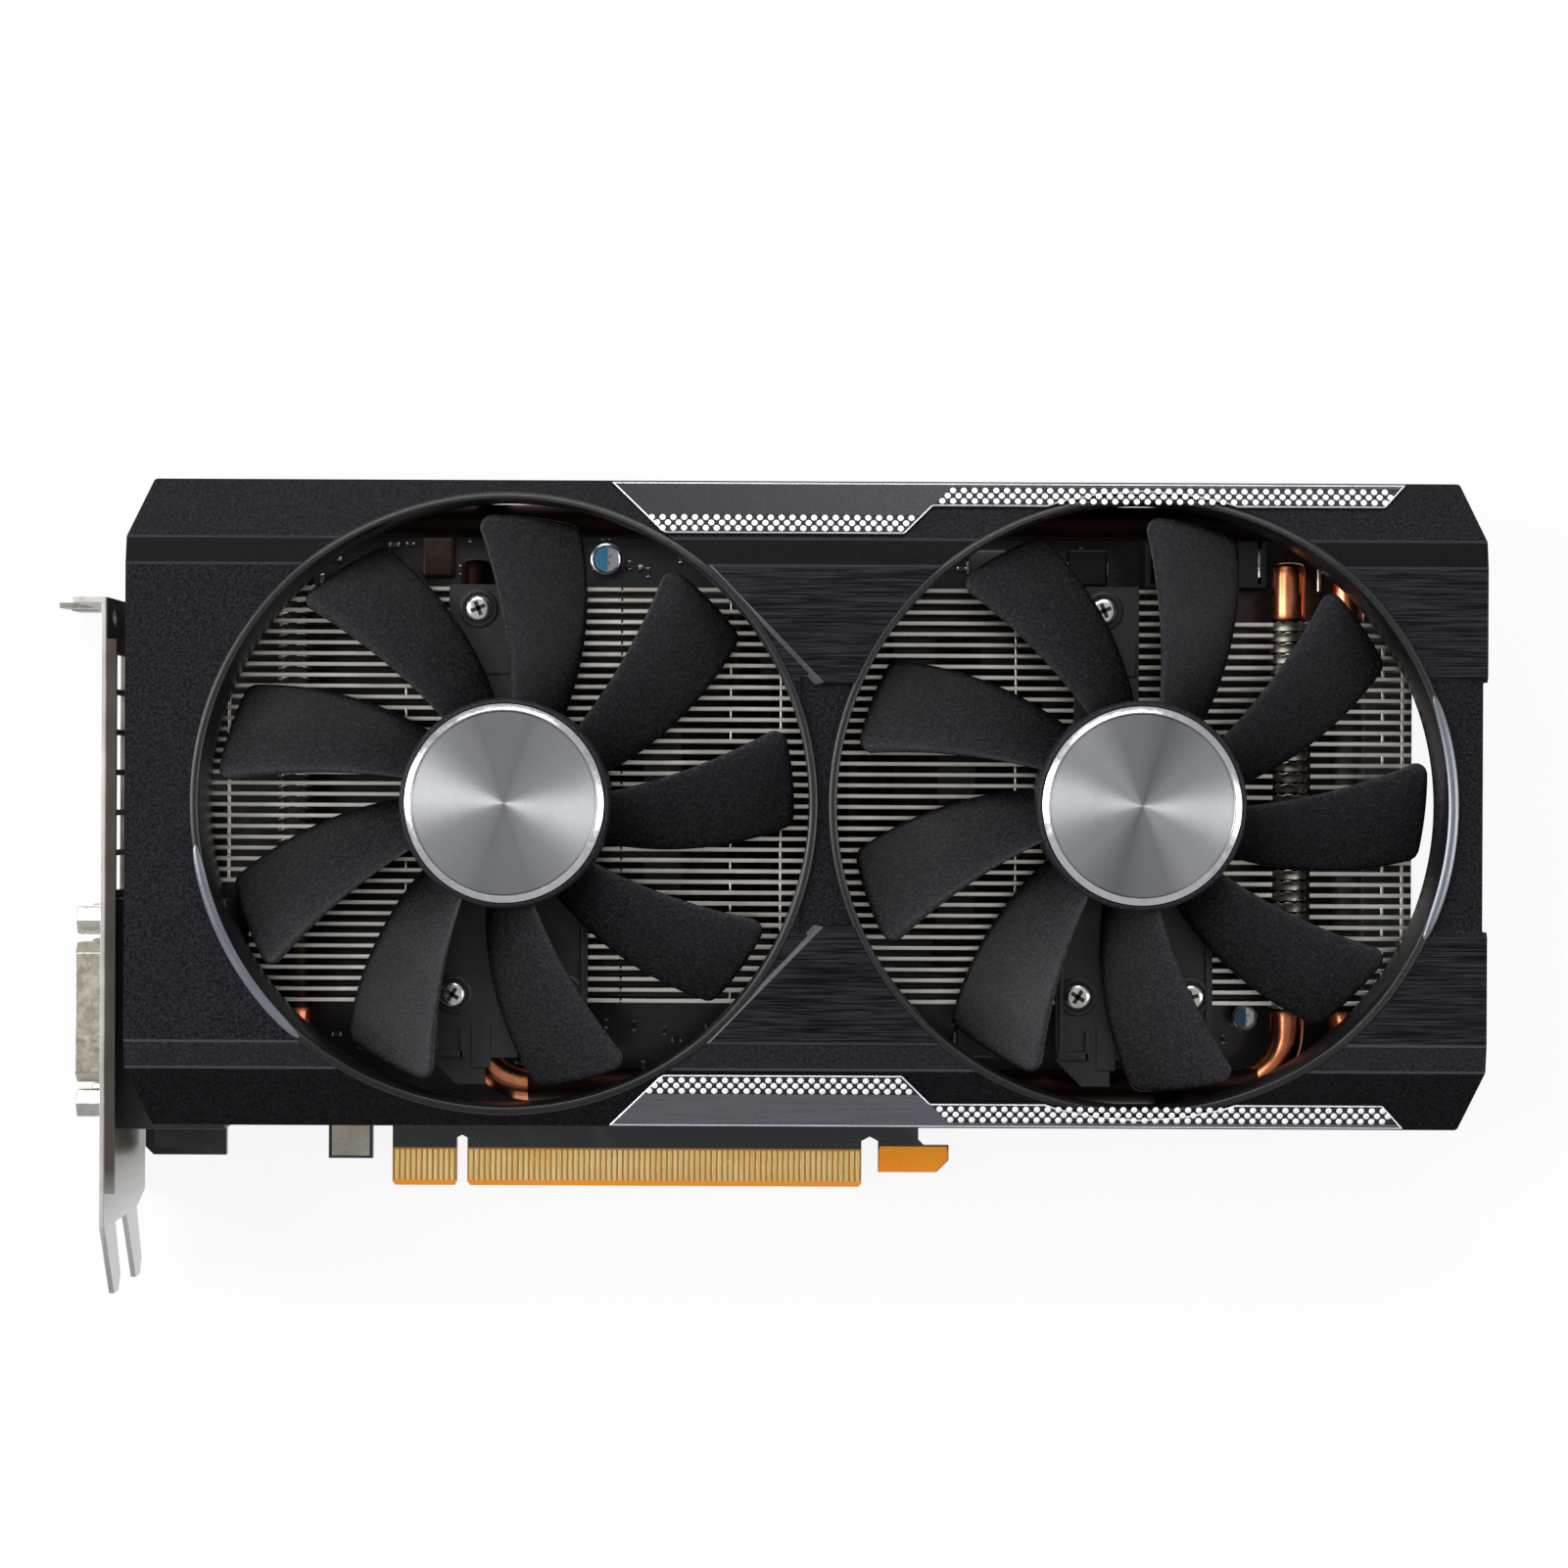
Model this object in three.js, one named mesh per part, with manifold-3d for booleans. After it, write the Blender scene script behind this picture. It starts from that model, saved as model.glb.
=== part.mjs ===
// A dual-slot graphics card with two fans, built as an assembly of separate pieces.
//
// Frame: the card lies on its back. X runs along the card away from the metal bracket, Y runs away from
// the edge connector, and Z runs out of the component side towards the fans. The origin is the middle of
// the long contact tongue's lower edge, halfway through the board. Sizes are in millimetres.

import * as THREE from 'three';
import { mergeVertices } from 'three/addons/utils/BufferGeometryUtils.js';
import Module from 'manifold-3d';

const wasm = await Module();
wasm.setup();

// ---------------------------------------------------------------- driving dimensions

const clearance = 0.3; // between a piece and the cut that it passes through
const seat = 0.05; // between two pieces that rest on one another

const cover = { // the shroud over the fans
  left: -91.5,
  length: 233.3,
  lower: 13.7,
  height: 111.4,
  wall: 2.0,
  cornerRun: 4.3,
  cornerRise: 10.2,
  bandWidth: 10.2,
  bandFall: 3.2,
  bevelWidth: 4.6,
  bevelFall: 1.0,
  skirtLower: 6.0,
  recessDepth: 0.8,
  recessHalf: 21.0,
  recessSlope: 1.6,
  lipWidth: 1.5,
  lipRise: 0.6,
  ductDepth: 14.0,
  ventWidth: 18,
  ventPitch: 24,
  ventMargin: 12,
  ventTop: 22,
  bossRadius: 3,
  bossOffset: 24,
  faceDepth: 9.0, // the front piece; the skirt carries on behind it
};
cover.right = cover.left + cover.length;
cover.upper = cover.lower + cover.height;
const middleY = (cover.lower + cover.upper) / 2;

const neckPanel = { // across from the middle of the neck
  near: [-1, 6],
  far: [-20, 28],
  rise: 0.4,
  rooted: 0.5,
};

const fan = {
  tipRadius: 49.7,
  tipGap: 2.6,
  endMargin: 64.9, // from the bracket end of the shroud to the first axis
  farMargin: 59.05, // from the second axis to the far end
  hubRadius: 18.1,
  hubHeight: 12,
  hubWall: 1.6,
  bossRadius: 4,
  capRadius: 17.05,
  capThickness: 0.8,
  blades: 9,
  bladeThickness: 1.3,
  bladeInset: 1.3, // from the open end of the hub to the trailing edge
  bladeRise: 8.6, // height of the leading edge over the trailing edge
  bladeCup: 0.9,
  rootTrailing: 57,
  rootLeading: 86.4,
  tipTrailing: 74.7,
  tipLeading: 95.4,
  shaftRadius: 1.5,
  runningGap: 0.09, // shaft to sleeve, on the radius
  sleeveWall: 1.0,
  tubeWall: 1.0,
  axialGap: 0.8,
  statorRadius: 13.2,
  statorHeight: 6.4,
  phases: [0, -6.2],
  tubeInset: 4.2, // from the front of the hub to the end of the bearing tube
  pocketFloor: 0.6,
};
fan.openingRadius = fan.tipRadius + fan.tipGap;
fan.centres = [cover.left + fan.endMargin, cover.right - fan.farMargin];

const carrier = { // the plastic frame that holds a motor over the fins
  thickness: 1.8,
  discRadius: 17.5,
  upperArm: [-10.7, 0.6],
  upperInset: 17.5, // from the end of the upper arm to the edge of the shroud
  lowerHalf: 13.7,
  lowerInset: 6.5,
  lowerNotch: 4.5,
  cableSlot: [1.5, 5.5],
  upperScrew: [-5.6, 21.7], // across from the axis, and in from the edge of the shroud
  lowerScrews: [[-9.9, 22.2], [9.9, 22.2]],
};
carrier.upperReach = cover.height / 2 - carrier.upperInset;
carrier.lowerReach = cover.height / 2 - carrier.lowerInset;
carrier.screws = [
  [carrier.upperScrew[0], cover.height / 2 - carrier.upperScrew[1]],
  ...carrier.lowerScrews.map(([across, inset]) => [across, inset - cover.height / 2]),
];

const screw = { headRadius: 2.4, headHeight: 1.1, shankRadius: 1.2 };

const board = {
  thickness: 1.57,
  left: -94,
  farInset: 6.8, // from the far end of the shroud
  lower: 12.2,
  upperInset: 3.6, // below the upper edge of the shroud
  tongueRise: 9.1,
  notchWidth: 1.9,
  longTongue: 71.35,
  shortTongue: 11.65,
  tongueBevel: 0.6,
  relief: 3.0, // gap between the long tongue and the hook
  hookLength: 12.8,
  hookLower: 2.7,
  hookUpper: 7.6,
  hookNeck: 7.3,
  hookBevel: 2.2,
  labelTab: [-60.8, -52.8],
  labelTabLower: 4.8,
  cornerTab: [-94, -79.3],
  cornerTabLower: 5.3,
};
board.right = cover.right - board.farInset;
board.upper = cover.upper - board.upperInset;
board.top = board.thickness / 2;
board.back = -board.thickness / 2;

const processor = { x: 26, size: 40, height: 1.2, die: 21, dieHeight: 0.8, screwOffset: 26.6 };
const memory = { width: 12, length: 14, height: 1.2, columnOffset: 36, pitch: 17 };
const pipe = {
  diameter: 6,
  pitch: 8,
  inset: 5.8, // from the edge of the shroud to the middle of the outer run
  bends: [[5, 3], [8, 6], [10, 6]], // radius and facets: off the cold plate, then round its end
  overRun: 4.4, // from the fins to the bend off the cold plate
  legs: [27.8, 38.2, -6.4, -38.4], // from the axis of the fan in front
  tipReach: 5.4, // how far a closed end stands out of the fins
  overSocket: 0.5, // from the power socket to the outer runs
  sides: 8,
};
const plate = { size: 46, thickness: 2.2, ear: 8, earThickness: 1.6, postRadius: 2.6, boreRadius: 1.55 };
const fins = {
  thickness: 0.35,
  pitch: 1.9,
  underGap: 1.45,
  left: -80,
  farInset: 10.3,
  lowerInset: 20.7,
  upperInset: 17.5,
  legCover: 1.0, // fin in front of the pipes
  strip: [2.4, 0.5],
  nearStrip: 19.6, // from the first fan's axis
  farStrip: 1.3, // from the far end of the fins
  shortRun: 33.5, // the last fins stop this far from the end of the others
  shortCount: 3,
};
fins.right = cover.right - fins.farInset;
fins.lowerY = cover.lower + fins.lowerInset;
fins.count = Math.floor((cover.upper - fins.upperInset - fins.lowerY) / fins.pitch) + 1;
fins.upperY = fins.lowerY + (fins.count - 1) * fins.pitch + fins.thickness;

const bracket = {
  outer: -95.9,
  thickness: 0.9,
  rear: -4.6,
  front: 34.2,
  slotPitch: 20.32,
  upper: 104.5,
  lower: -4,
  tangLower: -15.5,
  tangWidth: 10.1,
  tangTaper: 1.2,
  tangTip: 1.9,
  tangJog: 1.2,
  flangeLong: 11.43,
  flangeShort: 5,
  returnWidth: 2.6,
  returnLower: 2,
  returnUpper: 97.3,
  ventCount: 6,
  ventHeight: 6,
  ventPitch: 7,
  ventLower: 53.9,
  ventNear: 16.5,
  ventFar: 30.5,
  fixingHole: [101.2, 27],
  fixingRadius: 1.7,
  tab: [96, 103],
  tabReach: 9,
};
bracket.inner = bracket.outer + bracket.thickness;

const dvi = {
  y: 32.5,
  z: [6.4, 20.6],
  length: 24.4,
  height: 8.8,
  corner: 1.8,
  wall: 0.5,
  reach: 6.1,
  bodyLength: 40,
  bodyDepth: 19.5,
  bodyTop: 27.6,
  screwPitch: 32,
  hexRadius: 2.8,
  hexReach: 6.3,
  shankRadius: 1.3,
};
const hdmi = { y: 62.5, z: 4.2, length: 15, height: 5.8, wall: 0.5, reach: 0.9, depth: 11.5 };
const displayPort = { y: 84, z: 4.0, length: 16.6, height: 5.6, wall: 0.5, reach: 1.1, depth: 11.5 };
const power = {
  inset: 28.1, // from the far end of the board
  length: 21.4,
  depth: 13.4,
  height: 12.1,
  cell: 3.4,
  cellPitch: 4.2,
  cellDepth: 9,
  room: 1.5,
};
const header = { offset: 9, y: 27.5, length: 10, depth: 5.6, height: 5.8 };
const lead = { radius: 1.1, sides: 8, bend: [2.4, 3] };
const trim = {
  thickness: 0.8,
  near: [[18, 0], [27.2, 9.3]], // from the first fan's axis, and in from the edge
  far: [[-40.95, 9.3], [-36.05, 4.4], [41.65, 4.4], [45.45, 0]], // the same from the second axis
  ringGap: 0.15,
};
const capacitors = [[-10.6, cover.upper - 12.1, 3, 8], [fan.centres[1] + 21.3, cover.lower + 17.8, 2.5, 7.5]];
const retainer = {
  thickness: 1.4,
  pad: 9,
  rim: 4,
  arm: 7,
  screwHead: 3.2,
  headHeight: 1.6,
  shankRadius: 1.25,
};

// ---------------------------------------------------------------- levels, from the board to the front

const level = {};
level.packageTop = board.top + processor.height;
level.plateBase = level.packageTop + processor.dieHeight + seat;
level.plateTop = level.plateBase + plate.thickness;
level.baseRun = level.plateTop + seat + pipe.diameter / 2;
level.finBack = level.plateTop + fins.underGap;
level.leg = board.top + power.height + pipe.overSocket + pipe.diameter / 2;
level.finFront = level.leg + pipe.diameter / 2 + fins.legCover;
level.carrierBack = level.finFront + clearance;
level.carrierFront = level.carrierBack + carrier.thickness;
level.hubBack = level.carrierFront + fan.axialGap;
level.hubFront = level.hubBack + fan.hubHeight;
level.coverFront = level.hubFront + fan.capThickness;
level.seam = level.coverFront - cover.faceDepth;

// ---------------------------------------------------------------- finishes

const finish = (color, roughness, metalness) => new THREE.MeshStandardMaterial({ color, roughness, metalness });
const finishes = {
  cover: finish(0x232327, 0.5, 0.0),
  trim: finish(0x5a5a5f, 0.35, 0.6),
  blade: finish(0x1c1c1f, 0.45, 0.0),
  carrier: finish(0x141416, 0.55, 0.0),
  aluminium: finish(0x9a9a9c, 0.3, 1.0),
  steel: finish(0xb8b5b0, 0.3, 1.0),
  copper: finish(0xc87850, 0.3, 1.0),
  brass: finish(0xb08d4a, 0.35, 1.0),
  board: finish(0x121214, 0.4, 0.0),
  chip: finish(0x1a1a1c, 0.6, 0.0),
  substrate: finish(0x2c4a34, 0.5, 0.0),
  socket: finish(0x0e0e10, 0.5, 0.0),
  lead: finish(0x101012, 0.6, 0.0),
};

// ---------------------------------------------------------------- geometry helpers

const lerp = THREE.MathUtils.lerp;

// Turns a closed three.js geometry into a solid whose faces point out.
function solid(geometry) {
  geometry.deleteAttribute('normal');
  geometry.deleteAttribute('uv');
  const merged = mergeVertices(geometry, 1e-5);
  const vertProperties = Float32Array.from(merged.attributes.position.array);
  const triVerts = new Uint32Array(merged.index.array);
  if (signedVolume(vertProperties, triVerts) < 0) {
    for (let i = 0; i < triVerts.length; i += 3) {
      [triVerts[i], triVerts[i + 1]] = [triVerts[i + 1], triVerts[i]];
    }
  }
  return new wasm.Manifold(new wasm.Mesh({ numProp: 3, vertProperties, triVerts }));
}

function signedVolume(positions, triangles) {
  const [a, b, c] = [new THREE.Vector3(), new THREE.Vector3(), new THREE.Vector3()];
  let sum = 0;
  for (let i = 0; i < triangles.length; i += 3) {
    a.fromArray(positions, triangles[i] * 3);
    b.fromArray(positions, triangles[i + 1] * 3);
    c.fromArray(positions, triangles[i + 2] * 3);
    sum += a.dot(b.cross(c));
  }
  return sum / 6;
}

function toGeometry(manifold) {
  const result = manifold.getMesh();
  const geometry = new THREE.BufferGeometry();
  geometry.setAttribute('position', new THREE.BufferAttribute(result.vertProperties, 3));
  geometry.setIndex(new THREE.BufferAttribute(result.triVerts, 1));
  return geometry;
}

const join = (first, ...rest) => rest.reduce((whole, piece) => whole.add(piece), first);
const cut = (first, ...rest) => rest.reduce((whole, piece) => whole.subtract(piece), first);

function box([x0, x1], [y0, y1], [z0, z1]) {
  const geometry = new THREE.BoxGeometry(x1 - x0, y1 - y0, z1 - z0);
  return solid(geometry.translate((x0 + x1) / 2, (y0 + y1) / 2, (z0 + z1) / 2));
}

// A flat outline in X and Y, raised from z0 to z1.
function slab(points, z0, z1) {
  const outline = Array.isArray(points)
    ? new THREE.Shape(points.map(([x, y]) => new THREE.Vector2(x, y)))
    : points;
  const geometry = new THREE.ExtrudeGeometry(outline, { depth: z1 - z0, bevelEnabled: false });
  return solid(geometry.translate(0, 0, z0));
}

// A section in Y and Z, drawn out along X from x0 to x1.
function section(points, x0, x1) {
  const outline = new THREE.Shape(points.map(([y, z]) => new THREE.Vector2(y, z)));
  const geometry = new THREE.ExtrudeGeometry(outline, { depth: x1 - x0, bevelEnabled: false });
  const turn = new THREE.Matrix4().set(0, 0, 1, x0, 1, 0, 0, 0, 0, 1, 0, 0, 0, 0, 0, 1);
  return solid(geometry.applyMatrix4(turn));
}

// A profile of radius and height turned about the vertical axis through (x, y).
function turned(profile, sides, x = 0, y = 0) {
  const points = profile.map(([radius, height]) => new THREE.Vector2(radius, height));
  const geometry = new THREE.LatheGeometry(points, sides);
  return solid(geometry.rotateX(Math.PI / 2).translate(x, y, 0));
}

function rod(radius, z0, z1, x, y, sides = 12) {
  return turned([[0, z0], [radius, z0], [radius, z1], [0, z1]], sides, x, y);
}

function ring(inner, outer, z0, z1, x, y, sides = 32) {
  return turned([[inner, z0], [outer, z0], [outer, z1], [inner, z1], [inner, z0]], sides, x, y);
}

// A rod that points along X.
function bar(radius, x0, x1, y, z, sides = 12) {
  const geometry = new THREE.CylinderGeometry(radius, radius, x1 - x0, sides);
  return solid(geometry.rotateZ(-Math.PI / 2).translate((x0 + x1) / 2, y, z));
}

// A route of straight runs with a round bend, of its own radius, at each inner corner.
class Route extends THREE.Curve {
  constructor(corners, bends) {
    super();
    const points = corners.map((corner) => new THREE.Vector3(...corner));
    const rounded = bends.map(([radius, facets], i) => (
      roundCorner(points[i], points[i + 1], points[i + 2], radius, facets)
    ));
    this.points = [points[0], ...rounded.flat(), points[points.length - 1]];
  }

  getPoint(t, target = new THREE.Vector3()) {
    const place = Math.min(Math.max(t, 0), 1) * (this.points.length - 1);
    const index = Math.min(Math.floor(place), this.points.length - 2);
    return target.lerpVectors(this.points[index], this.points[index + 1], place - index);
  }

  getPointAt(u, target) {
    return this.getPoint(u, target);
  }

  getTangentAt(u, target) {
    return this.getTangent(u, target);
  }

  getTangent(t, target = new THREE.Vector3()) {
    const place = Math.round(t * (this.points.length - 1));
    const before = this.points[Math.max(place - 1, 0)];
    const here = this.points[place];
    const after = this.points[Math.min(place + 1, this.points.length - 1)];
    const arriving = here.clone().sub(before).normalize();
    return target.copy(after).sub(here).normalize().add(arriving).normalize();
  }
}

function roundCorner(before, corner, after, radius, facets) {
  const inward = before.clone().sub(corner).normalize();
  const outward = after.clone().sub(corner).normalize();
  const half = inward.angleTo(outward) / 2;
  const reach = radius / Math.tan(half);
  const centre = inward.clone().add(outward).normalize().multiplyScalar(radius / Math.sin(half)).add(corner);
  const start = inward.clone().multiplyScalar(reach).add(corner).sub(centre);
  const axis = new THREE.Vector3().crossVectors(outward, inward).normalize();
  const sweep = Math.PI - 2 * half;
  const points = [];
  for (let i = 0; i <= facets; i += 1) {
    points.push(start.clone().applyAxisAngle(axis, (sweep * i) / facets).add(centre));
  }
  return points;
}

function tube(route, radius, sides) {
  const outline = new THREE.Shape();
  for (let i = 0; i < sides; i += 1) {
    const angle = ((i + 0.5) * 2 * Math.PI) / sides;
    const point = [radius * Math.cos(angle), radius * Math.sin(angle)];
    if (i === 0) outline.moveTo(...point);
    else outline.lineTo(...point);
  }
  return solid(new THREE.ExtrudeGeometry(outline, { steps: route.points.length - 1, extrudePath: route }));
}

const card = new THREE.Group();

function addNode(name, shape, material) {
  const mesh = new THREE.Mesh(toGeometry(shape), material);
  mesh.name = name;
  card.add(mesh);
}

// ---------------------------------------------------------------- circuit board and its chips

const shortRight = -board.longTongue / 2 - board.notchWidth;
const shortLeft = shortRight - board.shortTongue;
const hookLeft = board.longTongue / 2 + board.relief;
const coolerScrews = [[-1, -1], [1, -1], [1, 1], [-1, 1]].map(([x, y]) => [
  processor.x + x * processor.screwOffset,
  middleY + y * processor.screwOffset,
]);

function circuitBoard() {
  const bevel = board.tongueBevel;
  const half = board.longTongue / 2;
  const neck = hookLeft + board.hookNeck;
  const hookRight = hookLeft + board.hookLength;
  const outline = new THREE.Shape([
    [board.left, board.upper],
    [board.cornerTab[0], board.cornerTabLower + 1.5],
    [board.cornerTab[0] + 1.5, board.cornerTabLower],
    [board.cornerTab[1], board.cornerTabLower],
    [board.cornerTab[1], board.lower],
    [board.labelTab[0], board.lower],
    [board.labelTab[0], board.labelTabLower],
    [board.labelTab[1], board.labelTabLower],
    [board.labelTab[1], board.lower],
    [shortLeft, board.lower],
    [shortLeft, bevel],
    [shortLeft + bevel, 0],
    [shortRight - bevel, 0],
    [shortRight, bevel],
    [shortRight, board.tongueRise - 0.5],
    [-half - board.notchWidth / 2, board.tongueRise],
    [-half, board.tongueRise - 0.5],
    [-half, bevel],
    [-half + bevel, 0],
    [half - bevel, 0],
    [half, bevel],
    [half, board.tongueRise - 0.8],
    [half + board.relief / 2, board.tongueRise],
    [hookLeft, board.tongueRise - 0.8],
    [hookLeft, board.hookLower],
    [hookRight - board.hookBevel, board.hookLower],
    [hookRight, board.hookLower + board.hookBevel],
    [hookRight, board.hookUpper],
    [neck + 1, board.hookUpper],
    [neck, board.hookUpper + 1],
    [neck, board.lower - 1.6],
    [neck + 1.6, board.lower],
    [board.right, board.lower],
    [board.right, board.upper],
  ].map(([x, y]) => new THREE.Vector2(x, y)));
  const drills = coolerScrews.map(([x, y]) => rod(plate.boreRadius + 0.15, -3, 3, x, y, 8));
  return cut(slab(outline, board.back, board.top), ...drills);
}

function processorPackage() {
  const square = (size, z0, z1) => box(
    [processor.x - size / 2, processor.x + size / 2],
    [middleY - size / 2, middleY + size / 2],
    [z0, z1],
  );
  const substrate = square(processor.size, board.top, level.packageTop);
  const die = square(processor.die, level.packageTop - 0.2, level.packageTop + processor.dieHeight);
  return join(substrate, die);
}

addNode('circuit_board', circuitBoard(), finishes.board);
addNode('gpu_package', processorPackage(), finishes.substrate);

const memoryPlaces = [];
for (const side of [-1, 1]) {
  for (const row of [-1, 0, 1]) {
    memoryPlaces.push([processor.x + side * memory.columnOffset, middleY + row * memory.pitch]);
  }
}
memoryPlaces.forEach(([x, y], index) => {
  const chip = box(
    [x - memory.width / 2, x + memory.width / 2],
    [y - memory.length / 2, y + memory.length / 2],
    [board.top, board.top + memory.height],
  );
  addNode(`memory_chip_${index + 1}`, chip, finishes.chip);
});

capacitors.forEach(([x, y, radius, height], index) => {
  const top = board.top + height;
  const can = turned([
    [0, board.top], [radius, board.top], [radius, top - 0.5], [radius - 0.5, top], [0, top],
  ], 14, x, y);
  addNode(`capacitor_${index + 1}`, can, finishes.steel);
});

// The auxiliary power socket opens upwards, at the edge of the board away from the contacts.
function powerSocket() {
  const right = board.right - power.inset;
  const left = right - power.length;
  const base = board.upper - power.depth;
  const body = box([left, right], [base, board.upper], [board.top, board.top + power.height]);
  const cells = [];
  for (let column = 0; column < 4; column += 1) {
    for (let row = 0; row < 2; row += 1) {
      const x = (left + right) / 2 + (column - 1.5) * power.cellPitch;
      const z = board.top + power.height / 2 + (row - 0.5) * power.cellPitch;
      const half = power.cell / 2;
      const depth = [board.upper - power.cellDepth, board.upper + 1];
      cells.push(box([x - half, x + half], depth, [z - half, z + half]));
    }
  }
  return cut(body, ...cells);
}
addNode('power_connector', powerSocket(), finishes.socket);

// ---------------------------------------------------------------- cooler: cold plate, heat pipes and fins

function coldPlate() {
  const half = plate.size / 2;
  const pieces = [box(
    [processor.x - half, processor.x + half],
    [middleY - half, middleY + half],
    [level.plateBase, level.plateTop],
  )];
  const earBase = level.plateTop - plate.earThickness;
  for (const [x, y] of coolerScrews) {
    const ear = [x, y].map((value) => [value - plate.ear / 2, value + plate.ear / 2]);
    pieces.push(box(ear[0], ear[1], [earBase, level.plateTop]));
    pieces.push(rod(plate.postRadius, board.top, earBase + 0.3, x, y, 8));
  }
  const bores = coolerScrews.map(([x, y]) => rod(plate.boreRadius, board.top - 1, level.plateTop - 0.6, x, y, 8));
  return cut(join(...pieces), ...bores);
}
addNode('cold_plate', coldPlate(), finishes.copper);

// Each pipe runs along the cold plate, out of one edge, round, and back through the fins on one leg.
const pipes = [
  { base: processor.x + 0.5 * pipe.pitch, leg: fan.centres[1] + pipe.legs[0], side: -1 },
  { base: processor.x + 1.5 * pipe.pitch, leg: fan.centres[1] + pipe.legs[1], side: 1 },
  { base: processor.x - 0.5 * pipe.pitch, leg: fan.centres[0] + pipe.legs[2], side: -1 },
  { base: processor.x - 1.5 * pipe.pitch, leg: fan.centres[0] + pipe.legs[3], side: 1 },
];
const outerRun = cover.height / 2 - pipe.inset;
const finHalf = (side) => (side > 0 ? fins.upperY - middleY : middleY - fins.lowerY);

function heatPipe({ base, leg, side }) {
  const at = (x, reach, z) => [x, middleY + side * reach, z];
  const corners = [
    at(base, -plate.size / 2, level.baseRun),
    at(base, finHalf(side) + pipe.overRun, level.baseRun),
    at(base, outerRun, level.leg),
    at(leg, outerRun, level.leg),
    at(leg, -finHalf(-side) - pipe.tipReach, level.leg),
  ];
  return tube(new Route(corners, pipe.bends), pipe.diameter / 2, pipe.sides);
}

pipes.forEach((item, index) => {
  addNode(`heatpipe_${index + 1}`, heatPipe(item), finishes.copper);
});

// One fin, seen along Y: notched below for the runs on the cold plate, and in front for each leg.
function finOutline() {
  const gap = pipe.diameter / 2 + clearance;
  const runs = pipes.map((item) => item.base);
  const notchTop = level.baseRun + gap;
  const legFloor = level.leg - gap;
  const outline = [
    [fins.left, level.finBack],
    [Math.min(...runs) - gap, level.finBack],
    [Math.min(...runs) - gap, notchTop],
    [Math.max(...runs) + gap, notchTop],
    [Math.max(...runs) + gap, level.finBack],
    [fins.right, level.finBack],
    [fins.right, level.finFront],
  ];
  const legs = pipes.map((item) => item.leg).sort((a, b) => b - a);
  for (const leg of legs) {
    outline.push([leg + gap, level.finFront], [leg + gap, legFloor]);
    outline.push([leg - gap, legFloor], [leg - gap, level.finFront]);
  }
  outline.push([fins.left, level.finFront]);
  return outline;
}

function finStack() {
  const outline = new THREE.Shape(finOutline().map(([x, z]) => new THREE.Vector2(x, z)));
  const sheets = [];
  for (let i = 0; i < fins.count; i += 1) {
    const geometry = new THREE.ExtrudeGeometry(outline, { depth: fins.thickness, bevelEnabled: false });
    geometry.rotateX(Math.PI / 2).translate(0, fins.lowerY + i * fins.pitch + fins.thickness, 0);
    sheets.push(solid(geometry));
  }
  const [width, thickness] = fins.strip;
  const length = [fins.lowerY, fins.upperY];
  for (const x of [fan.centres[0] + fins.nearStrip, fins.right - fins.farStrip]) {
    sheets.push(box([x - width / 2, x + width / 2], length, [level.finFront - thickness, level.finFront]));
  }
  const socketCorner = box(
    [fins.left - 1, bracket.inner + dvi.bodyDepth + 3],
    [fins.lowerY - 1, dvi.y + dvi.bodyLength / 2 + 1],
    [level.finBack - 1, level.finFront + 1],
  );
  const farCorner = box(
    [fins.right - fins.shortRun, fins.right + 1],
    [fins.upperY - fins.thickness - (fins.shortCount - 0.5) * fins.pitch, fins.upperY + 1],
    [level.finBack - 1, level.finFront + 1],
  );
  return cut(wasm.Manifold.union(sheets), socketCorner, farCorner);
}
addNode('fin_stack', finStack(), finishes.aluminium);

// ---------------------------------------------------------------- fans

const tubeBore = fan.shaftRadius + fan.runningGap + fan.sleeveWall + seat;
const pocketFloor = level.carrierBack + fan.pocketFloor;
const tubeTop = level.hubFront - fan.tubeInset;

function fanCarrier(x) {
  const arm = (x0, x1, y0, y1) => box(
    [x + x0, x + x1],
    [middleY + y0, middleY + y1],
    [level.carrierBack, level.carrierFront],
  );
  const notch = carrier.lowerNotch;
  const lowerArm = slab([
    [x - carrier.lowerHalf, middleY],
    [x - carrier.lowerHalf, middleY - carrier.lowerReach + notch],
    [x - carrier.lowerHalf + notch, middleY - carrier.lowerReach],
    [x + carrier.lowerHalf - notch, middleY - carrier.lowerReach],
    [x + carrier.lowerHalf, middleY - carrier.lowerReach + notch],
    [x + carrier.lowerHalf, middleY],
  ], level.carrierBack, level.carrierFront);
  const frame = join(
    rod(carrier.discRadius, level.carrierBack, level.carrierFront, x, middleY, 28),
    arm(carrier.upperArm[0], carrier.upperArm[1], 0, carrier.upperReach),
    lowerArm,
    rod(tubeBore + fan.tubeWall, level.carrierBack, tubeTop, x, middleY, 16),
  );
  const drill = screw.shankRadius + clearance;
  const holes = carrier.screws.map(([dx, dy]) => (
    rod(drill, level.carrierBack - 1, level.carrierFront + 1, x + dx, middleY + dy, 8)
  ));
  const cableSlot = arm(...carrier.cableSlot, -carrier.lowerReach - 1, -carrier.lowerReach + 6);
  return cut(frame, cableSlot, rod(tubeBore, pocketFloor, tubeTop + 1, x, middleY, 16), ...holes);
}

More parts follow.
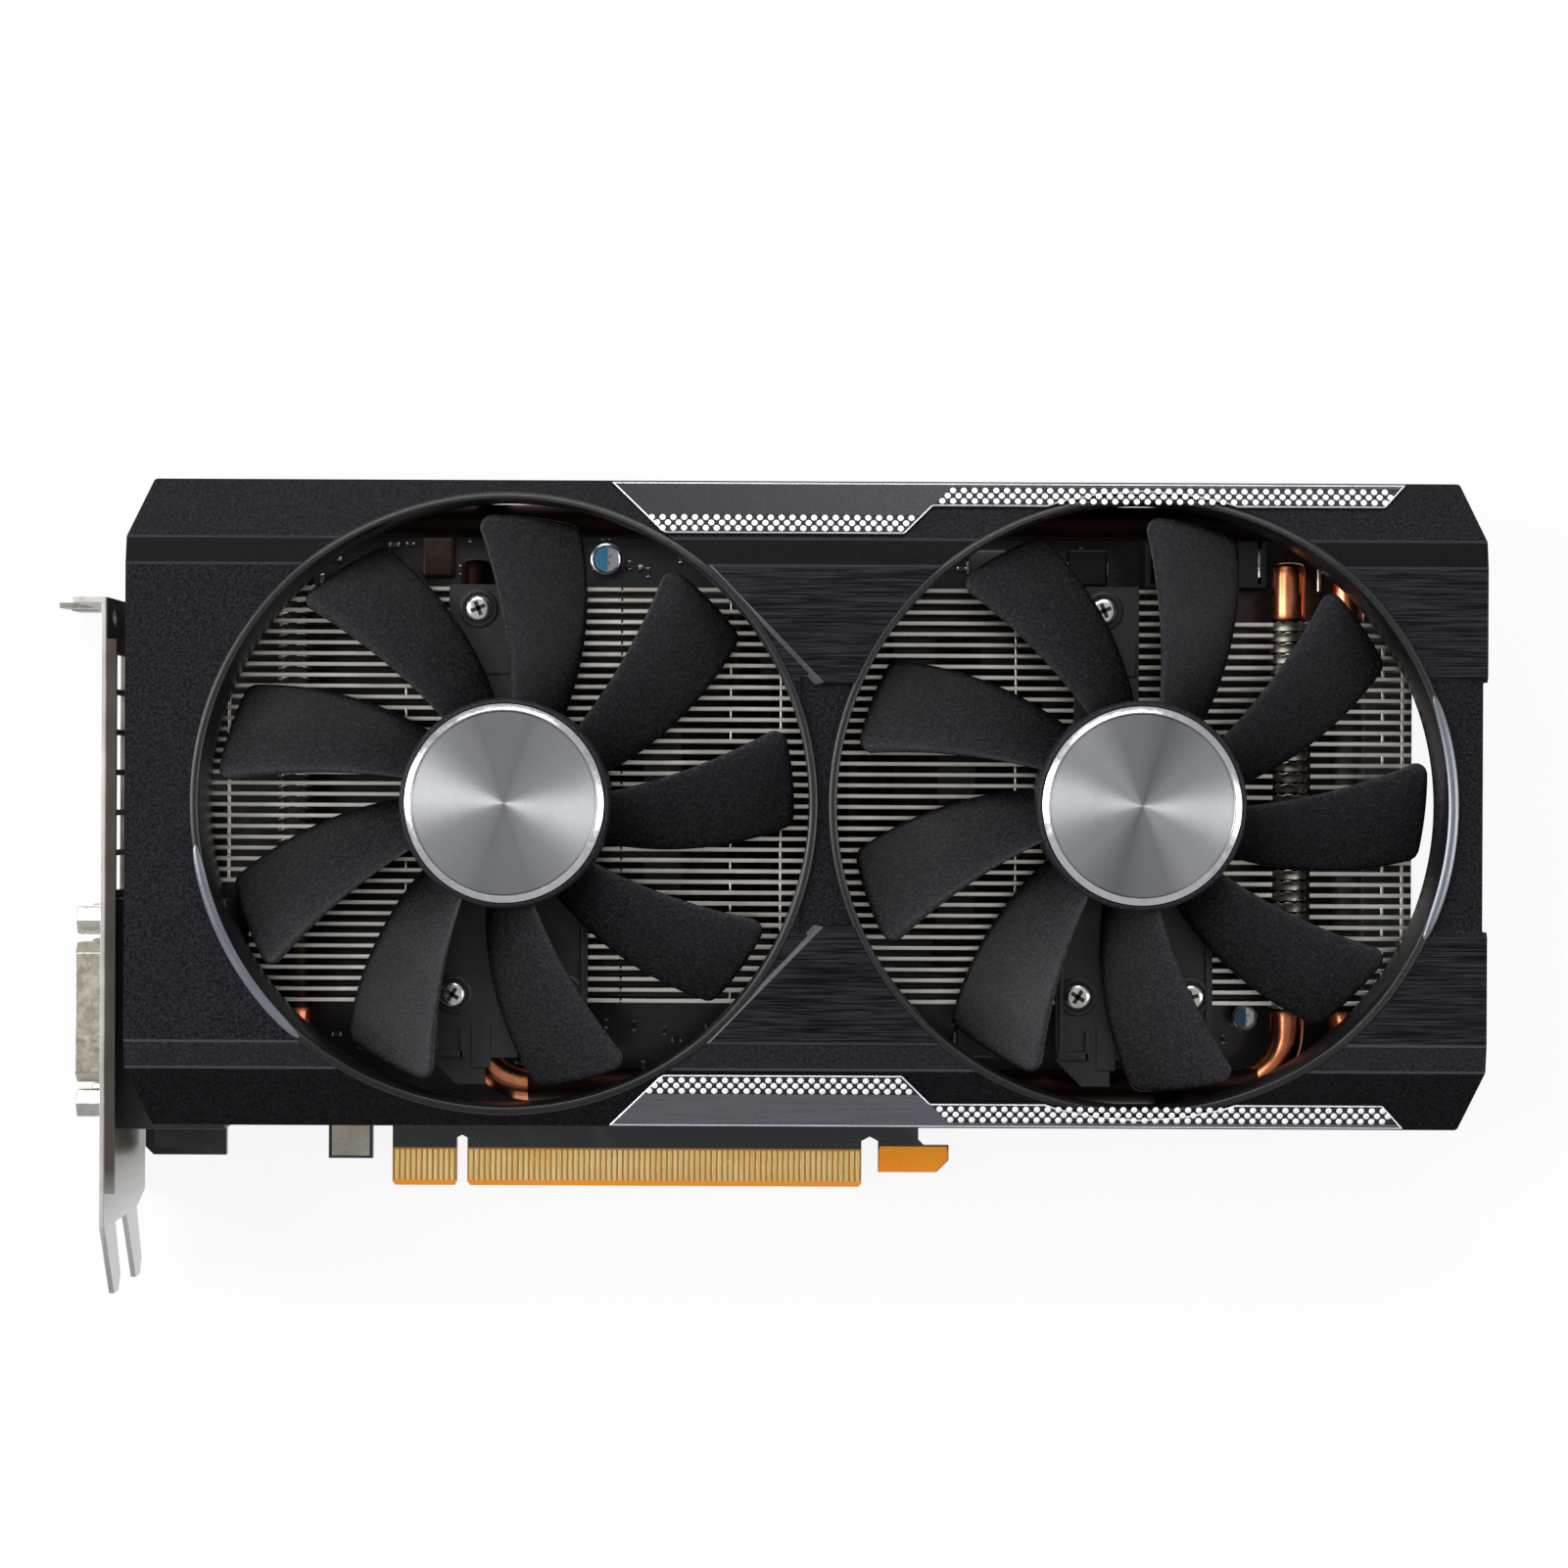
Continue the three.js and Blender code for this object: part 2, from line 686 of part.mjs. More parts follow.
function rotor(x, phase) {
  const boreTop = level.hubFront - fan.hubWall + 0.4;
  const inner = fan.hubRadius - fan.hubWall;
  const hub = turned([
    [0, boreTop],
    [fan.shaftRadius + seat, boreTop],
    [fan.shaftRadius + seat, tubeTop + 0.4],
    [fan.bossRadius, tubeTop + 0.4],
    [fan.bossRadius, level.hubFront - fan.hubWall],
    [inner, level.hubFront - fan.hubWall],
    [inner, level.hubBack],
    [fan.hubRadius, level.hubBack],
    [fan.hubRadius, level.hubFront - 0.7],
    [fan.hubRadius - 0.7, level.hubFront],
    [0, level.hubFront],
  ], 28, x, middleY);
  const blades = [];
  for (let i = 0; i < fan.blades; i += 1) {
    blades.push(blade(x, phase + (i * 360) / fan.blades));
  }
  return join(hub, ...blades);
}

// A twisted, cupped blade: a block of facets laid out by radius, by angle and through its thickness.
function blade(x, turn) {
  const geometry = new THREE.BoxGeometry(1, 1, 1, 3, 2, 1);
  const position = geometry.attributes.position;
  const trailingHeight = level.hubBack + fan.bladeInset;
  for (let i = 0; i < position.count; i += 1) {
    const along = position.getX(i) + 0.5;
    const across = position.getY(i) + 0.5;
    const radius = lerp(fan.hubRadius - fan.hubWall / 2, fan.tipRadius, along);
    const trailing = lerp(fan.rootTrailing, fan.tipTrailing, along);
    const leading = lerp(fan.rootLeading, fan.tipLeading, along);
    const angle = THREE.MathUtils.degToRad(lerp(trailing, leading, across) + turn);
    const middle = trailingHeight + fan.bladeRise * across - fan.bladeCup * Math.sin(Math.PI * across);
    const height = middle + fan.bladeThickness * (position.getZ(i) + 0.5);
    position.setXYZ(i, x + radius * Math.cos(angle), middleY + radius * Math.sin(angle), height);
  }
  return solid(geometry);
}

function stator(x) {
  const z0 = level.carrierFront + 1.4;
  const z1 = z0 + fan.statorHeight;
  const bore = tubeBore + fan.tubeWall + seat;
  const core = ring(bore, bore + 2, z0, z1, x, middleY, 16);
  const rim = ring(fan.statorRadius - 1.6, fan.statorRadius, z0, z1, x, middleY, 16);
  const poles = [];
  const reach = fan.statorRadius - 0.8;
  for (const side of [-1, 1]) {
    const near = bore + 1;
    const span = side > 0 ? [near, reach] : [-reach, -near];
    poles.push(box([x + span[0], x + span[1]], [middleY - 2, middleY + 2], [z0, z1]));
    poles.push(box([x - 2, x + 2], [middleY + span[0], middleY + span[1]], [z0, z1]));
  }
  return join(core, rim, ...poles);
}

const sideNames = ['left', 'right'];
fan.centres.forEach((x, index) => {
  const name = sideNames[index];
  const sleeveBore = fan.shaftRadius + fan.runningGap;
  addNode(`fan_carrier_${name}`, fanCarrier(x), finishes.carrier);
  addNode(
    `bearing_${name}`,
    ring(sleeveBore, tubeBore - seat, pocketFloor + seat, tubeTop - 0.2, x, middleY, 16),
    finishes.brass,
  );
  addNode(`stator_${name}`, stator(x), finishes.copper);
  addNode(`rotor_${name}`, rotor(x, fan.phases[index]), finishes.blade);
  addNode(
    `shaft_${name}`,
    rod(fan.shaftRadius, pocketFloor + 0.3, level.hubFront - fan.hubWall + 0.35, x, middleY, 16),
    finishes.steel,
  );
  const capFront = level.hubFront + fan.capThickness;
  const hubCap = turned([
    [0, level.hubFront],
    [fan.capRadius, level.hubFront],
    [fan.capRadius, capFront - 0.4],
    [fan.capRadius - 0.9, capFront],
    [0, capFront],
  ], 36, x, middleY);
  addNode(`hub_cap_${name}`, hubCap, finishes.aluminium);
  carrier.screws.forEach(([dx, dy], number) => {
    const head = rod(
      screw.headRadius, level.carrierFront, level.carrierFront + screw.headHeight, x + dx, middleY + dy, 10,
    );
    const shank = rod(screw.shankRadius, level.carrierBack, level.carrierFront + 0.2, x + dx, middleY + dy, 6);
    addNode(`fan_screw_${name}_${number + 1}`, join(head, shank), finishes.steel);
  });
  addNode(`fan_header_${name}`, fanHeader(x), finishes.socket);
  addNode(`fan_lead_${name}`, fanLead(x), finishes.lead);
});

function fanHeader(x) {
  const middle = x + header.offset;
  return box(
    [middle - header.length / 2, middle + header.length / 2],
    [header.y - header.depth / 2, header.y + header.depth / 2],
    [board.top, board.top + header.height],
  );
}

// The lead leaves the back of the lower arm, just past the fins, and drops to its header.
function fanLead(x) {
  const start = level.carrierBack - clearance - lead.radius;
  const end = board.top + header.height + clearance;
  const from = fins.lowerY - clearance - 0.6;
  const route = new Route([
    [x + 4, from, start],
    [x + 4, from - 4.6, start - 0.4],
    [x + header.offset, header.y, end + 4.5],
    [x + header.offset, header.y, end],
  ], [lead.bend, lead.bend]);
  return tube(route, lead.radius, lead.sides);
}

// ---------------------------------------------------------------- shroud and its trims

const front = level.coverFront;
const neckX = (fan.centres[0] + fan.centres[1]) / 2;
const bandOuter = front - cover.bevelFall - cover.bandFall;
const bandInner = front - cover.bevelFall;

// The front of the shroud across the card, set back by inset from its outside.
function frontProfile(inset, back) {
  const half = cover.height / 2 - inset;
  const bandEnd = cover.height / 2 - cover.bandWidth - inset * 0.15;
  const bevelEnd = bandEnd - cover.bevelWidth;
  return [
    [middleY - half, back],
    [middleY - half, bandOuter - inset * 0.8],
    [middleY - bandEnd, bandInner - inset],
    [middleY - bevelEnd, front - inset],
    [middleY + bevelEnd, front - inset],
    [middleY + bandEnd, bandInner - inset],
    [middleY + half, bandOuter - inset * 0.8],
    [middleY + half, back],
  ];
}

function planOutline(inset) {
  const [x0, x1] = [cover.left + inset, cover.right - inset];
  const [y0, y1] = [cover.lower + inset, cover.upper - inset];
  const { cornerRun: run, cornerRise: rise } = cover;
  return [
    [x0 + run, y0], [x1 - run, y0], [x1, y0 + rise], [x1, y1 - rise],
    [x1 - run, y1], [x0 + run, y1], [x0, y1 - rise], [x0, y0 + rise],
  ];
}

function coverShell() {
  const outside = section(frontProfile(0, cover.skirtLower), cover.left, cover.right)
    .intersect(slab(planOutline(0), cover.skirtLower, front + 1));
  const inside = section(frontProfile(cover.wall, cover.skirtLower - 1), cover.left - 5, cover.right)
    .intersect(slab(planOutline(cover.wall), cover.skirtLower - 1, front));
  const openEnd = box(
    [cover.left - 1, cover.left + cover.wall + cover.cornerRun + 1],
    [cover.lower + cover.cornerRise + cover.wall, cover.upper - cover.cornerRise - cover.wall],
    [cover.skirtLower - 1, front - cover.wall - 0.5],
  );
  return cut(outside, inside, openEnd);
}

// The display sockets stand up under this corner of the shroud.
function socketRoom() {
  return box(
    [cover.left - 1, bracket.inner + dvi.bodyDepth + 1.5],
    [cover.lower - 1, dvi.y + dvi.bodyLength / 2 + 1.5],
    [cover.skirtLower - 1, dvi.bodyTop + 0.5],
  );
}

// The two raised brushed panels on the neck between the fans, one above and one below the middle.
function neckPanels() {
  const near = cover.recessHalf - neckPanel.rooted;
  const far = cover.height / 2 - cover.bandWidth - cover.bevelWidth;
  const panels = [-1, 1].map((side) => slab([
    [neckX + neckPanel.near[0], middleY + side * near],
    [neckX + neckPanel.far[0], middleY + side * far],
    [neckX + neckPanel.far[1], middleY + side * far],
    [neckX + neckPanel.near[1], middleY + side * near],
  ], front - neckPanel.rooted, front + neckPanel.rise));
  return join(...panels);
}

// A shallow step that runs from the neck to the far end.
function recess() {
  const slope = cover.recessSlope;
  return section([
    [middleY - cover.recessHalf - slope, front + 0.1],
    [middleY - cover.recessHalf, front - cover.recessDepth],
    [middleY + cover.recessHalf, front - cover.recessDepth],
    [middleY + cover.recessHalf + slope, front + 0.1],
    [middleY + cover.recessHalf, front + 3],
    [middleY - cover.recessHalf, front + 3],
  ], neckX - 4, cover.right + 1);
}

const lipOuter = fan.openingRadius + cover.lipWidth;
const wholeCover = (z0, z1) => (
  box([cover.left - 9, cover.right + 9], [cover.lower - 9, cover.upper + 9], [z0, z1])
);

// The front of the shroud, with a hole for each duct and two posts that stand on the fins.
function shroudFace() {
  const holes = fan.centres.map((x) => rod(lipOuter + seat, 0, front + 5, x, middleY, 48));
  const shell = cut(join(coverShell(), neckPanels()), recess(), ...holes);
  const bosses = [-1, 1].map((side) => rod(
    cover.bossRadius,
    level.finFront + clearance,
    front - cover.wall + 0.5,
    neckX,
    middleY + side * cover.bossOffset,
    14,
  ));
  return cut(join(shell.intersect(wholeCover(level.seam, front + 9)), ...bosses), socketRoom());
}

// The ring round one fan, with a raised lip, trimmed to the slope of the front.
function duct(x) {
  const sunk = 0.8;
  const profile = frontProfile(sunk, 0).map(([y, z]) => [y, z > 1 ? z + sunk + cover.lipRise : z]);
  const inWall = cover.height / 2 - cover.wall - seat;
  const betweenWalls = box([cover.left, cover.right], [middleY - inWall, middleY + inWall], [0, front + 9]);
  const whole = ring(fan.openingRadius, lipOuter, front - cover.ductDepth, front + cover.lipRise, x, middleY, 48);
  const sloped = whole.intersect(section(profile, cover.left, cover.right));
  return cut(sloped.intersect(betweenWalls), socketRoom());
}

// Rows of openings in the two long walls and the far wall let the warm air out.
function sideVents() {
  const vents = [];
  const powerRight = board.right - power.inset + power.room;
  const powerLeft = powerRight - power.length - 2 * power.room;
  const last = cover.right - cover.cornerRun - cover.ventMargin - cover.ventWidth;
  for (let x = cover.left + cover.cornerRun + cover.ventMargin; x <= last; x += cover.ventPitch) {
    const span = [x, x + cover.ventWidth];
    const height = [cover.skirtLower + 3, cover.ventTop];
    vents.push(box(span, [cover.lower - 1, cover.lower + cover.wall + 0.5], height));
    if (span[1] < powerLeft - 2 || span[0] > powerRight + 2) {
      vents.push(box(span, [cover.upper - cover.wall - 0.5, cover.upper + 1], height));
    }
  }
  vents.push(box(
    [powerLeft, powerRight],
    [cover.upper - cover.wall - 0.5, cover.upper + 1],
    [cover.skirtLower - 1, board.top + power.height + power.room],
  ));
  for (const side of [-1, 0, 1]) {
    const y = middleY + side * cover.ventPitch;
    vents.push(box(
      [cover.right - cover.wall - 0.5, cover.right + 1],
      [y - cover.ventWidth / 2, y + cover.ventWidth / 2],
      [cover.skirtLower + 3, cover.ventTop],
    ));
  }
  return vents;
}
addNode('shroud', shroudFace(), finishes.cover);
addNode(
  'shroud_skirt',
  cut(coverShell().intersect(wholeCover(0, level.seam - seat)), ...sideVents(), socketRoom()),
  finishes.cover,
);
fan.centres.forEach((x, index) => {
  addNode(`duct_${sideNames[index]}`, duct(x), finishes.cover);
});

// A grey strip laid on the sloping band along one long edge of the shroud.
function edgeTrim(side) {
  const edge = cover.height / 2;
  const corner = (from) => ([across, inward]) => [
    from + across,
    middleY + side * (edge - Math.max(inward, clearance)),
  ];
  const outline = [
    ...trim.near.map(corner(fan.centres[0])),
    ...trim.far.map(corner(fan.centres[1])),
  ];
  const lift = (points, rise) => points.map(([y, z], i) => [y, i === 0 || i === 7 ? z : z + rise]);
  const skin = section(lift(frontProfile(0, 10), trim.thickness), cover.left, cover.right);
  const under = section(lift(frontProfile(0, 9), seat), cover.left - 1, cover.right + 1);
  const rings = fan.centres.map((x) => rod(lipOuter + trim.ringGap, 10, 60, x, middleY, 48));
  return cut(slab(outline, 12, front + 5).intersect(skin), under, ...rings);
}
addNode('trim_upper', edgeTrim(1), finishes.trim);
addNode('trim_lower', edgeTrim(-1), finishes.trim);

// ---------------------------------------------------------------- bracket and display sockets

// One slot's tang, tapered to its tip and set over towards the card, below the plate's lower edge.
function tang(top) {
  const near = top - bracket.tangWidth;
  const shoulder = bracket.tangLower + bracket.tangTip * 1.4;
  const taper = bracket.tangTaper;
  const blank = section([
    [bracket.lower + 0.5, near],
    [shoulder, near + taper],
    [bracket.tangLower, near + taper + bracket.tangTip],
    [bracket.tangLower, top - taper - bracket.tangTip],
    [shoulder, top - taper],
    [bracket.lower + 0.5, top],
  ], bracket.outer, bracket.inner);
  return blank.warp((point) => {
    if (point[1] < bracket.lower) point[0] += bracket.tangJog;
  });
}

function bracketPlate() {
  const [z0, z1] = [bracket.rear, bracket.front];
  const slotOneTop = z1 - bracket.slotPitch;
  const sheet = section([
    [bracket.upper - bracket.thickness / 2, z0],
    [bracket.lower + 2.5, z0],
    [bracket.lower, slotOneTop - bracket.tangWidth],
    [bracket.lower, z1],
    [bracket.upper - bracket.thickness / 2, z1],
  ], bracket.outer, bracket.inner);
  const lip = [bracket.upper - bracket.thickness, bracket.upper];
  const pieces = [
    tang(slotOneTop),
    tang(z1),
    box([bracket.outer - bracket.flangeLong, bracket.inner], lip, [z0, slotOneTop]),
    box([bracket.outer - bracket.flangeShort, bracket.inner], lip, [slotOneTop - 0.1, z1]),
    box(
      [bracket.outer, bracket.outer + bracket.returnWidth],
      [bracket.returnLower, bracket.returnUpper],
      [z1 - bracket.thickness, z1],
    ),
    box(
      [bracket.outer, bracket.inner + bracket.tabReach],
      bracket.tab,
      [board.top + seat, board.top + seat + bracket.thickness],
    ),
  ];
  const notch = box(
    [bracket.outer - bracket.flangeLong - 1, bracket.outer - bracket.flangeLong + 5.2],
    [lip[0] - 1, lip[1] + 1],
    [3.2, 7.2],
  );
  return cut(join(sheet, ...pieces), notch, ...bracketCuts());
}

function bracketCuts() {
  const depth = [bracket.outer - 0.5, bracket.inner + 0.5];
  const cuts = [bar(
    bracket.fixingRadius, depth[0], depth[1], bracket.fixingHole[0], bracket.fixingHole[1], 16,
  )];
  for (let i = 0; i < bracket.ventCount; i += 1) {
    const y = bracket.ventLower + i * bracket.ventPitch;
    cuts.push(box(depth, [y, y + bracket.ventHeight], [bracket.ventNear, bracket.ventFar]));
  }
  for (const z of dvi.z) {
    cuts.push(section(shellOutline(dvi.y, z, dvi.length, dvi.height, clearance), ...depth));
    for (const side of [-1, 1]) {
      cuts.push(bar(dvi.shankRadius + clearance, ...depth, dvi.y + (side * dvi.screwPitch) / 2, z, 8));
    }
  }
  for (const port of [hdmi, displayPort]) {
    cuts.push(box(
      depth,
      [port.y - port.length / 2 - clearance, port.y + port.length / 2 + clearance],
      [port.z - port.height / 2 - clearance, port.z + port.height / 2 + clearance],
    ));
  }
  return cuts;
}

// A rectangle with cut corners, in Y and Z, grown by margin.
function shellOutline(y, z, length, height, margin) {
  const half = length / 2 + margin;
  const rise = height / 2 + margin;
  const corner = dvi.corner;
  return [
    [y - half + corner, z - rise], [y + half - corner, z - rise], [y + half, z - rise + corner],
    [y + half, z + rise - corner], [y + half - corner, z + rise], [y - half + corner, z + rise],
    [y - half, z + rise - corner], [y - half, z - rise + corner],
  ];
}
addNode('bracket', bracketPlate(), finishes.steel);

const dviFace = bracket.inner + seat;
const shellBack = dviFace + 3;

// One moulded block carries both sockets, one over the other, and fills each metal shell with contacts.
function dviBody() {
  const body = box(
    [dviFace, dviFace + dvi.bodyDepth],
    [dvi.y - dvi.bodyLength / 2, dvi.y + dvi.bodyLength / 2],
    [board.top, dvi.bodyTop],
  );
  const pockets = dvi.z.map((z) => (
    section(shellOutline(dvi.y, z, dvi.length, dvi.height, seat), dviFace - 1, shellBack + seat)
  ));
  const inset = dvi.wall + 0.9;
  const tongues = dvi.z.map((z) => section(
    shellOutline(dvi.y, z, dvi.length, dvi.height, -inset),
    bracket.outer - dvi.reach + 0.8,
    shellBack + 1,
  ));
  return join(cut(body, ...pockets), ...tongues);
}

function dviShell(z) {
  const outline = (margin) => shellOutline(dvi.y, z, dvi.length, dvi.height, margin);
  const mouth = bracket.outer - dvi.reach;
  return cut(
    section(outline(0), mouth, shellBack),
    section(outline(-dvi.wall), mouth - 1, shellBack + 1),
  );
}

function jackscrew(y, z) {
  const face = bracket.outer - seat;
  const hexagon = bar(dvi.hexRadius, face - dvi.hexReach, face, y, z, 6);
  const shank = bar(dvi.shankRadius, face - 0.5, bracket.inner - seat, y, z, 6);
  const thread = bar(dvi.shankRadius - 0.1, face - dvi.hexReach - 1, face - 1.5, y, z, 6);
  return cut(join(hexagon, shank), thread);
}

// A rectangular metal shell, open towards the bracket, with a contact tongue on its back wall.
function portShell(port) {
  const back = bracket.inner + port.depth;
  const mouth = bracket.outer - port.reach;
  const across = (inset) => [port.y - port.length / 2 + inset, port.y + port.length / 2 - inset];
  const through = (inset) => [port.z - port.height / 2 + inset, port.z + port.height / 2 - inset];
  const shell = cut(
    box([mouth, back], across(0), through(0)),
    box([mouth - 1, back - 1], across(port.wall), through(port.wall)),
  );
  const tongue = box([mouth + 1, back - 0.5], across(2.2), [port.z - 0.5, port.z + 0.5]);
  const foot = box([bracket.inner + 2, back - 1], across(1.5), [board.top, port.z - port.height / 2 + 0.2]);
  return join(shell, tongue, foot);
}

addNode('dvi_socket_body', dviBody(), finishes.socket);
dvi.z.forEach((z, index) => {
  addNode(`dvi_shell_${index + 1}`, dviShell(z), finishes.steel);
});
dvi.z.forEach((z, row) => {
  [-1, 1].forEach((side, column) => {
    addNode(
      `dvi_jackscrew_${row * 2 + column + 1}`,
      jackscrew(dvi.y + (side * dvi.screwPitch) / 2, z),
      finishes.steel,
    );
  });
});
addNode('hdmi_socket', portShell(hdmi), finishes.steel);
addNode('displayport_socket', portShell(displayPort), finishes.steel);

// ---------------------------------------------------------------- cooler fixing on the back

function retentionPlate() {
  const back = board.back - seat;
  const front = back - retainer.thickness;
  const centre = [processor.x, middleY];
  const arms = [1, -1].map((sign) => {
    const reach = processor.screwOffset;
    const half = (retainer.arm / 2) * Math.SQRT1_2;
    const [dx, dy] = [reach, sign * reach];
    const normal = [-sign * half, half];
    const corner = (along, across) => [
      centre[0] + along * dx + across * normal[0],
      centre[1] + along * dy + across * normal[1],
    ];
    return slab([corner(-1, -1), corner(1, -1), corner(1, 1), corner(-1, 1)], front, back);
  });
  const eyes = coolerScrews.map(([x, y]) => rod(retainer.arm / 2 + 0.4, front, back, x, y, 10));
  const drill = retainer.shankRadius + clearance;
  const holes = coolerScrews.map(([x, y]) => rod(drill, front - 1, back + 1, x, y, 8));
  const hub = rod(retainer.pad, front, back, centre[0], centre[1], 16);
  const window = rod(retainer.pad - retainer.rim, front - 1, back + 1, centre[0], centre[1], 12);
  return cut(join(...arms, ...eyes, hub), window, ...holes);
}
addNode('retention_plate', retentionPlate(), finishes.steel);

coolerScrews.forEach(([x, y], index) => {
  const face = board.back - seat - retainer.thickness;
  const head = rod(retainer.screwHead, face - retainer.headHeight, face, x, y, 10);
  const shank = rod(retainer.shankRadius, face - 0.2, level.plateTop - 0.9, x, y, 6);
  addNode(`cooler_screw_${index + 1}`, join(head, shank), finishes.steel);
});

export default card;
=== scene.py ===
"""Finished surfaces for a dual-slot graphics card with two fans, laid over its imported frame.

The card lies on its back. X runs along it away from the metal bracket, Y away from the edge connector and
Z out of the fans. Sizes are in millimetres, and meshes are turned into metres when they are made; only the
camera and the lamps are placed in metres.
"""

import math

import bmesh
import bpy
from mathutils import Matrix, Vector


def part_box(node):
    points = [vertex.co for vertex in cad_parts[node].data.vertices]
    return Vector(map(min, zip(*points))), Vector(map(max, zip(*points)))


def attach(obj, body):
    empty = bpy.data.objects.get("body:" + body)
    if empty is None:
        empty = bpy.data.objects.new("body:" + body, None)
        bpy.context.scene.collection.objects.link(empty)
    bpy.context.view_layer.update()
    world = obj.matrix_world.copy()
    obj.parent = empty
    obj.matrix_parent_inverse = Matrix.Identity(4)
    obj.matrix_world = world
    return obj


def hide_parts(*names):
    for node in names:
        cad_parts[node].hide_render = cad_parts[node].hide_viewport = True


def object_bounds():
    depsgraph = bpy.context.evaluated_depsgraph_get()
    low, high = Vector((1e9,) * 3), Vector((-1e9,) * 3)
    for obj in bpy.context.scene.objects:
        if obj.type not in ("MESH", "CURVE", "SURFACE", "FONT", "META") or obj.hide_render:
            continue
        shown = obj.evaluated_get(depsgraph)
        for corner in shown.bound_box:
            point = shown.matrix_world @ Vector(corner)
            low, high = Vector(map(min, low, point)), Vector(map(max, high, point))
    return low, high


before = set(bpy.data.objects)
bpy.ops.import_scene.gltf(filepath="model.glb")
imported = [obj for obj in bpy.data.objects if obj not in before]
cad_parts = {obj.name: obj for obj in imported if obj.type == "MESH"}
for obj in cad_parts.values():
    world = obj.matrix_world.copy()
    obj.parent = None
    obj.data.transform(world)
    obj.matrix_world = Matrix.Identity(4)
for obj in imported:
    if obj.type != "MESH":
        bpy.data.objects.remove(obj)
frame_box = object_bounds()

MM = 0.001
TAU = 2 * math.pi


def place_of(node):
    """Lowest and highest corner of a frame node, in millimetres."""
    low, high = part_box(node)
    return low / MM, high / MM


def middle_of(node):
    """Middle of a frame node's box, in millimetres."""
    low, high = place_of(node)
    return (low + high) / 2


# ------------------------------------------------------------------ node graphs


class Value:
    """An output of a node. Arithmetic and comparisons on it add Math nodes to its graph."""

    def __init__(self, graph, socket):
        self.graph = graph
        self.socket = socket

    def __add__(self, other):
        return self.graph.math("ADD", self, other)

    __radd__ = __add__

    def __mul__(self, other):
        return self.graph.math("MULTIPLY", self, other)

    __rmul__ = __mul__

    def __sub__(self, other):
        return self.graph.math("SUBTRACT", self, other)

    def __rsub__(self, other):
        return self.graph.math("SUBTRACT", other, self)

    def __truediv__(self, other):
        return self.graph.math("DIVIDE", self, other)

    def __gt__(self, other):
        return self.graph.math("GREATER_THAN", self, other)

    def __lt__(self, other):
        return self.graph.math("LESS_THAN", self, other)

    def __abs__(self):
        return self.graph.math("ABSOLUTE", self)


class Step:
    """A node in a graph; its outputs are read by name or number."""

    def __init__(self, graph, node):
        self.graph = graph
        self.node = node

    def __getitem__(self, key):
        return Value(self.graph, self.node.outputs[key])


class Graph:
    """A node tree whose nodes are all added by one method."""

    def __init__(self, tree):
        self.tree = tree

    def node(self, kind, settings=None, sockets=None):
        """Adds a node: its settings first, then the values or links of its sockets."""
        made = self.tree.nodes.new(kind)
        for key, value in (settings or {}).items():
            setattr(made, key, value)
        for key, value in (sockets or {}).items():
            if isinstance(value, Value):
                self.tree.links.new(value.socket, made.inputs[key])
            else:
                made.inputs[key].default_value = value
        return Step(self, made)

    def math(self, operation, *values):
        """One Math node on some values."""
        return self.node("ShaderNodeMath", {"operation": operation}, dict(enumerate(values)))[0]


def shade(red, green, blue):
    """A colour given as it looks on screen, 0 to 255, turned into the linear values that Blender uses."""
    linear = [((v / 255 + 0.055) / 1.055) ** 2.4 if v > 10 else v / 255 / 12.92 for v in (red, green, blue)]
    return (*linear, 1.0)


class Finish(Graph):
    """A material built from nodes on Object coordinates, in millimetres."""

    def __init__(self, name, **surface):
        self.material = bpy.data.materials.new(name)
        self.material.use_nodes = True
        super().__init__(self.material.node_tree)
        self.tree.nodes.clear()
        self.place = self.node("ShaderNodeTexCoord")["Object"]
        self.surface = self.node("ShaderNodeBsdfPrincipled", None, surface)
        output = self.tree.nodes.new("ShaderNodeOutputMaterial")
        self.tree.links.new(self.surface[0].socket, output.inputs["Surface"])

    def drive(self, **sockets):
        """Links values to the shader's sockets; underscores in a name stand for spaces."""
        for key, value in sockets.items():
            self.tree.links.new(value.socket, self.surface.node.inputs[key.replace("_", " ")])
        return self

    def axes(self):
        """The three Object coordinates, in millimetres."""
        apart = self.node("ShaderNodeSeparateXYZ", None, {0: self.place})
        return [apart[i] * 1000.0 for i in range(3)]

    def stretched(self, x, y, z):
        """Object coordinates with a scale for each axis, for a pattern that is longer one way."""
        return self.node("ShaderNodeMapping", None, {"Vector": self.place, "Scale": (x, y, z)})[0]

    def noise(self, scale, detail=2.0, roughness=0.5, place=None):
        """A cloudy pattern from 0 to 1; a greater scale is finer."""
        sockets = {"Vector": place or self.place, "Scale": scale, "Detail": detail, "Roughness": roughness}
        return self.node("ShaderNodeTexNoise", None, sockets)["Fac"]

    def mix(self, factor, first, second):
        """The first colour where the factor is 0, the second where it is 1."""
        sockets = {0: factor, 6: first, 7: second}
        return self.node("ShaderNodeMix", {"data_type": "RGBA"}, sockets)[2]

    def spread(self, value, low, high, to_low, to_high):
        """Carries a value's range onto another, without going past its ends."""
        sockets = {0: value, 1: low, 2: high, 3: to_low, 4: to_high}
        return self.node("ShaderNodeMapRange", {"clamp": True}, sockets)[0]

    def bump(self, height, strength, distance_mm):
        """Relief of a given depth where the height runs from 0 to 1."""
        sockets = {"Height": height, "Strength": strength, "Distance": distance_mm * MM}
        return self.node("ShaderNodeBump", None, sockets)[0]

    def from_centre(self, x, y):
        """Distance in millimetres from an upright axis."""
        east, north, _ = self.axes()
        return self.math("SQRT", (east - x) * (east - x) + (north - y) * (north - y))


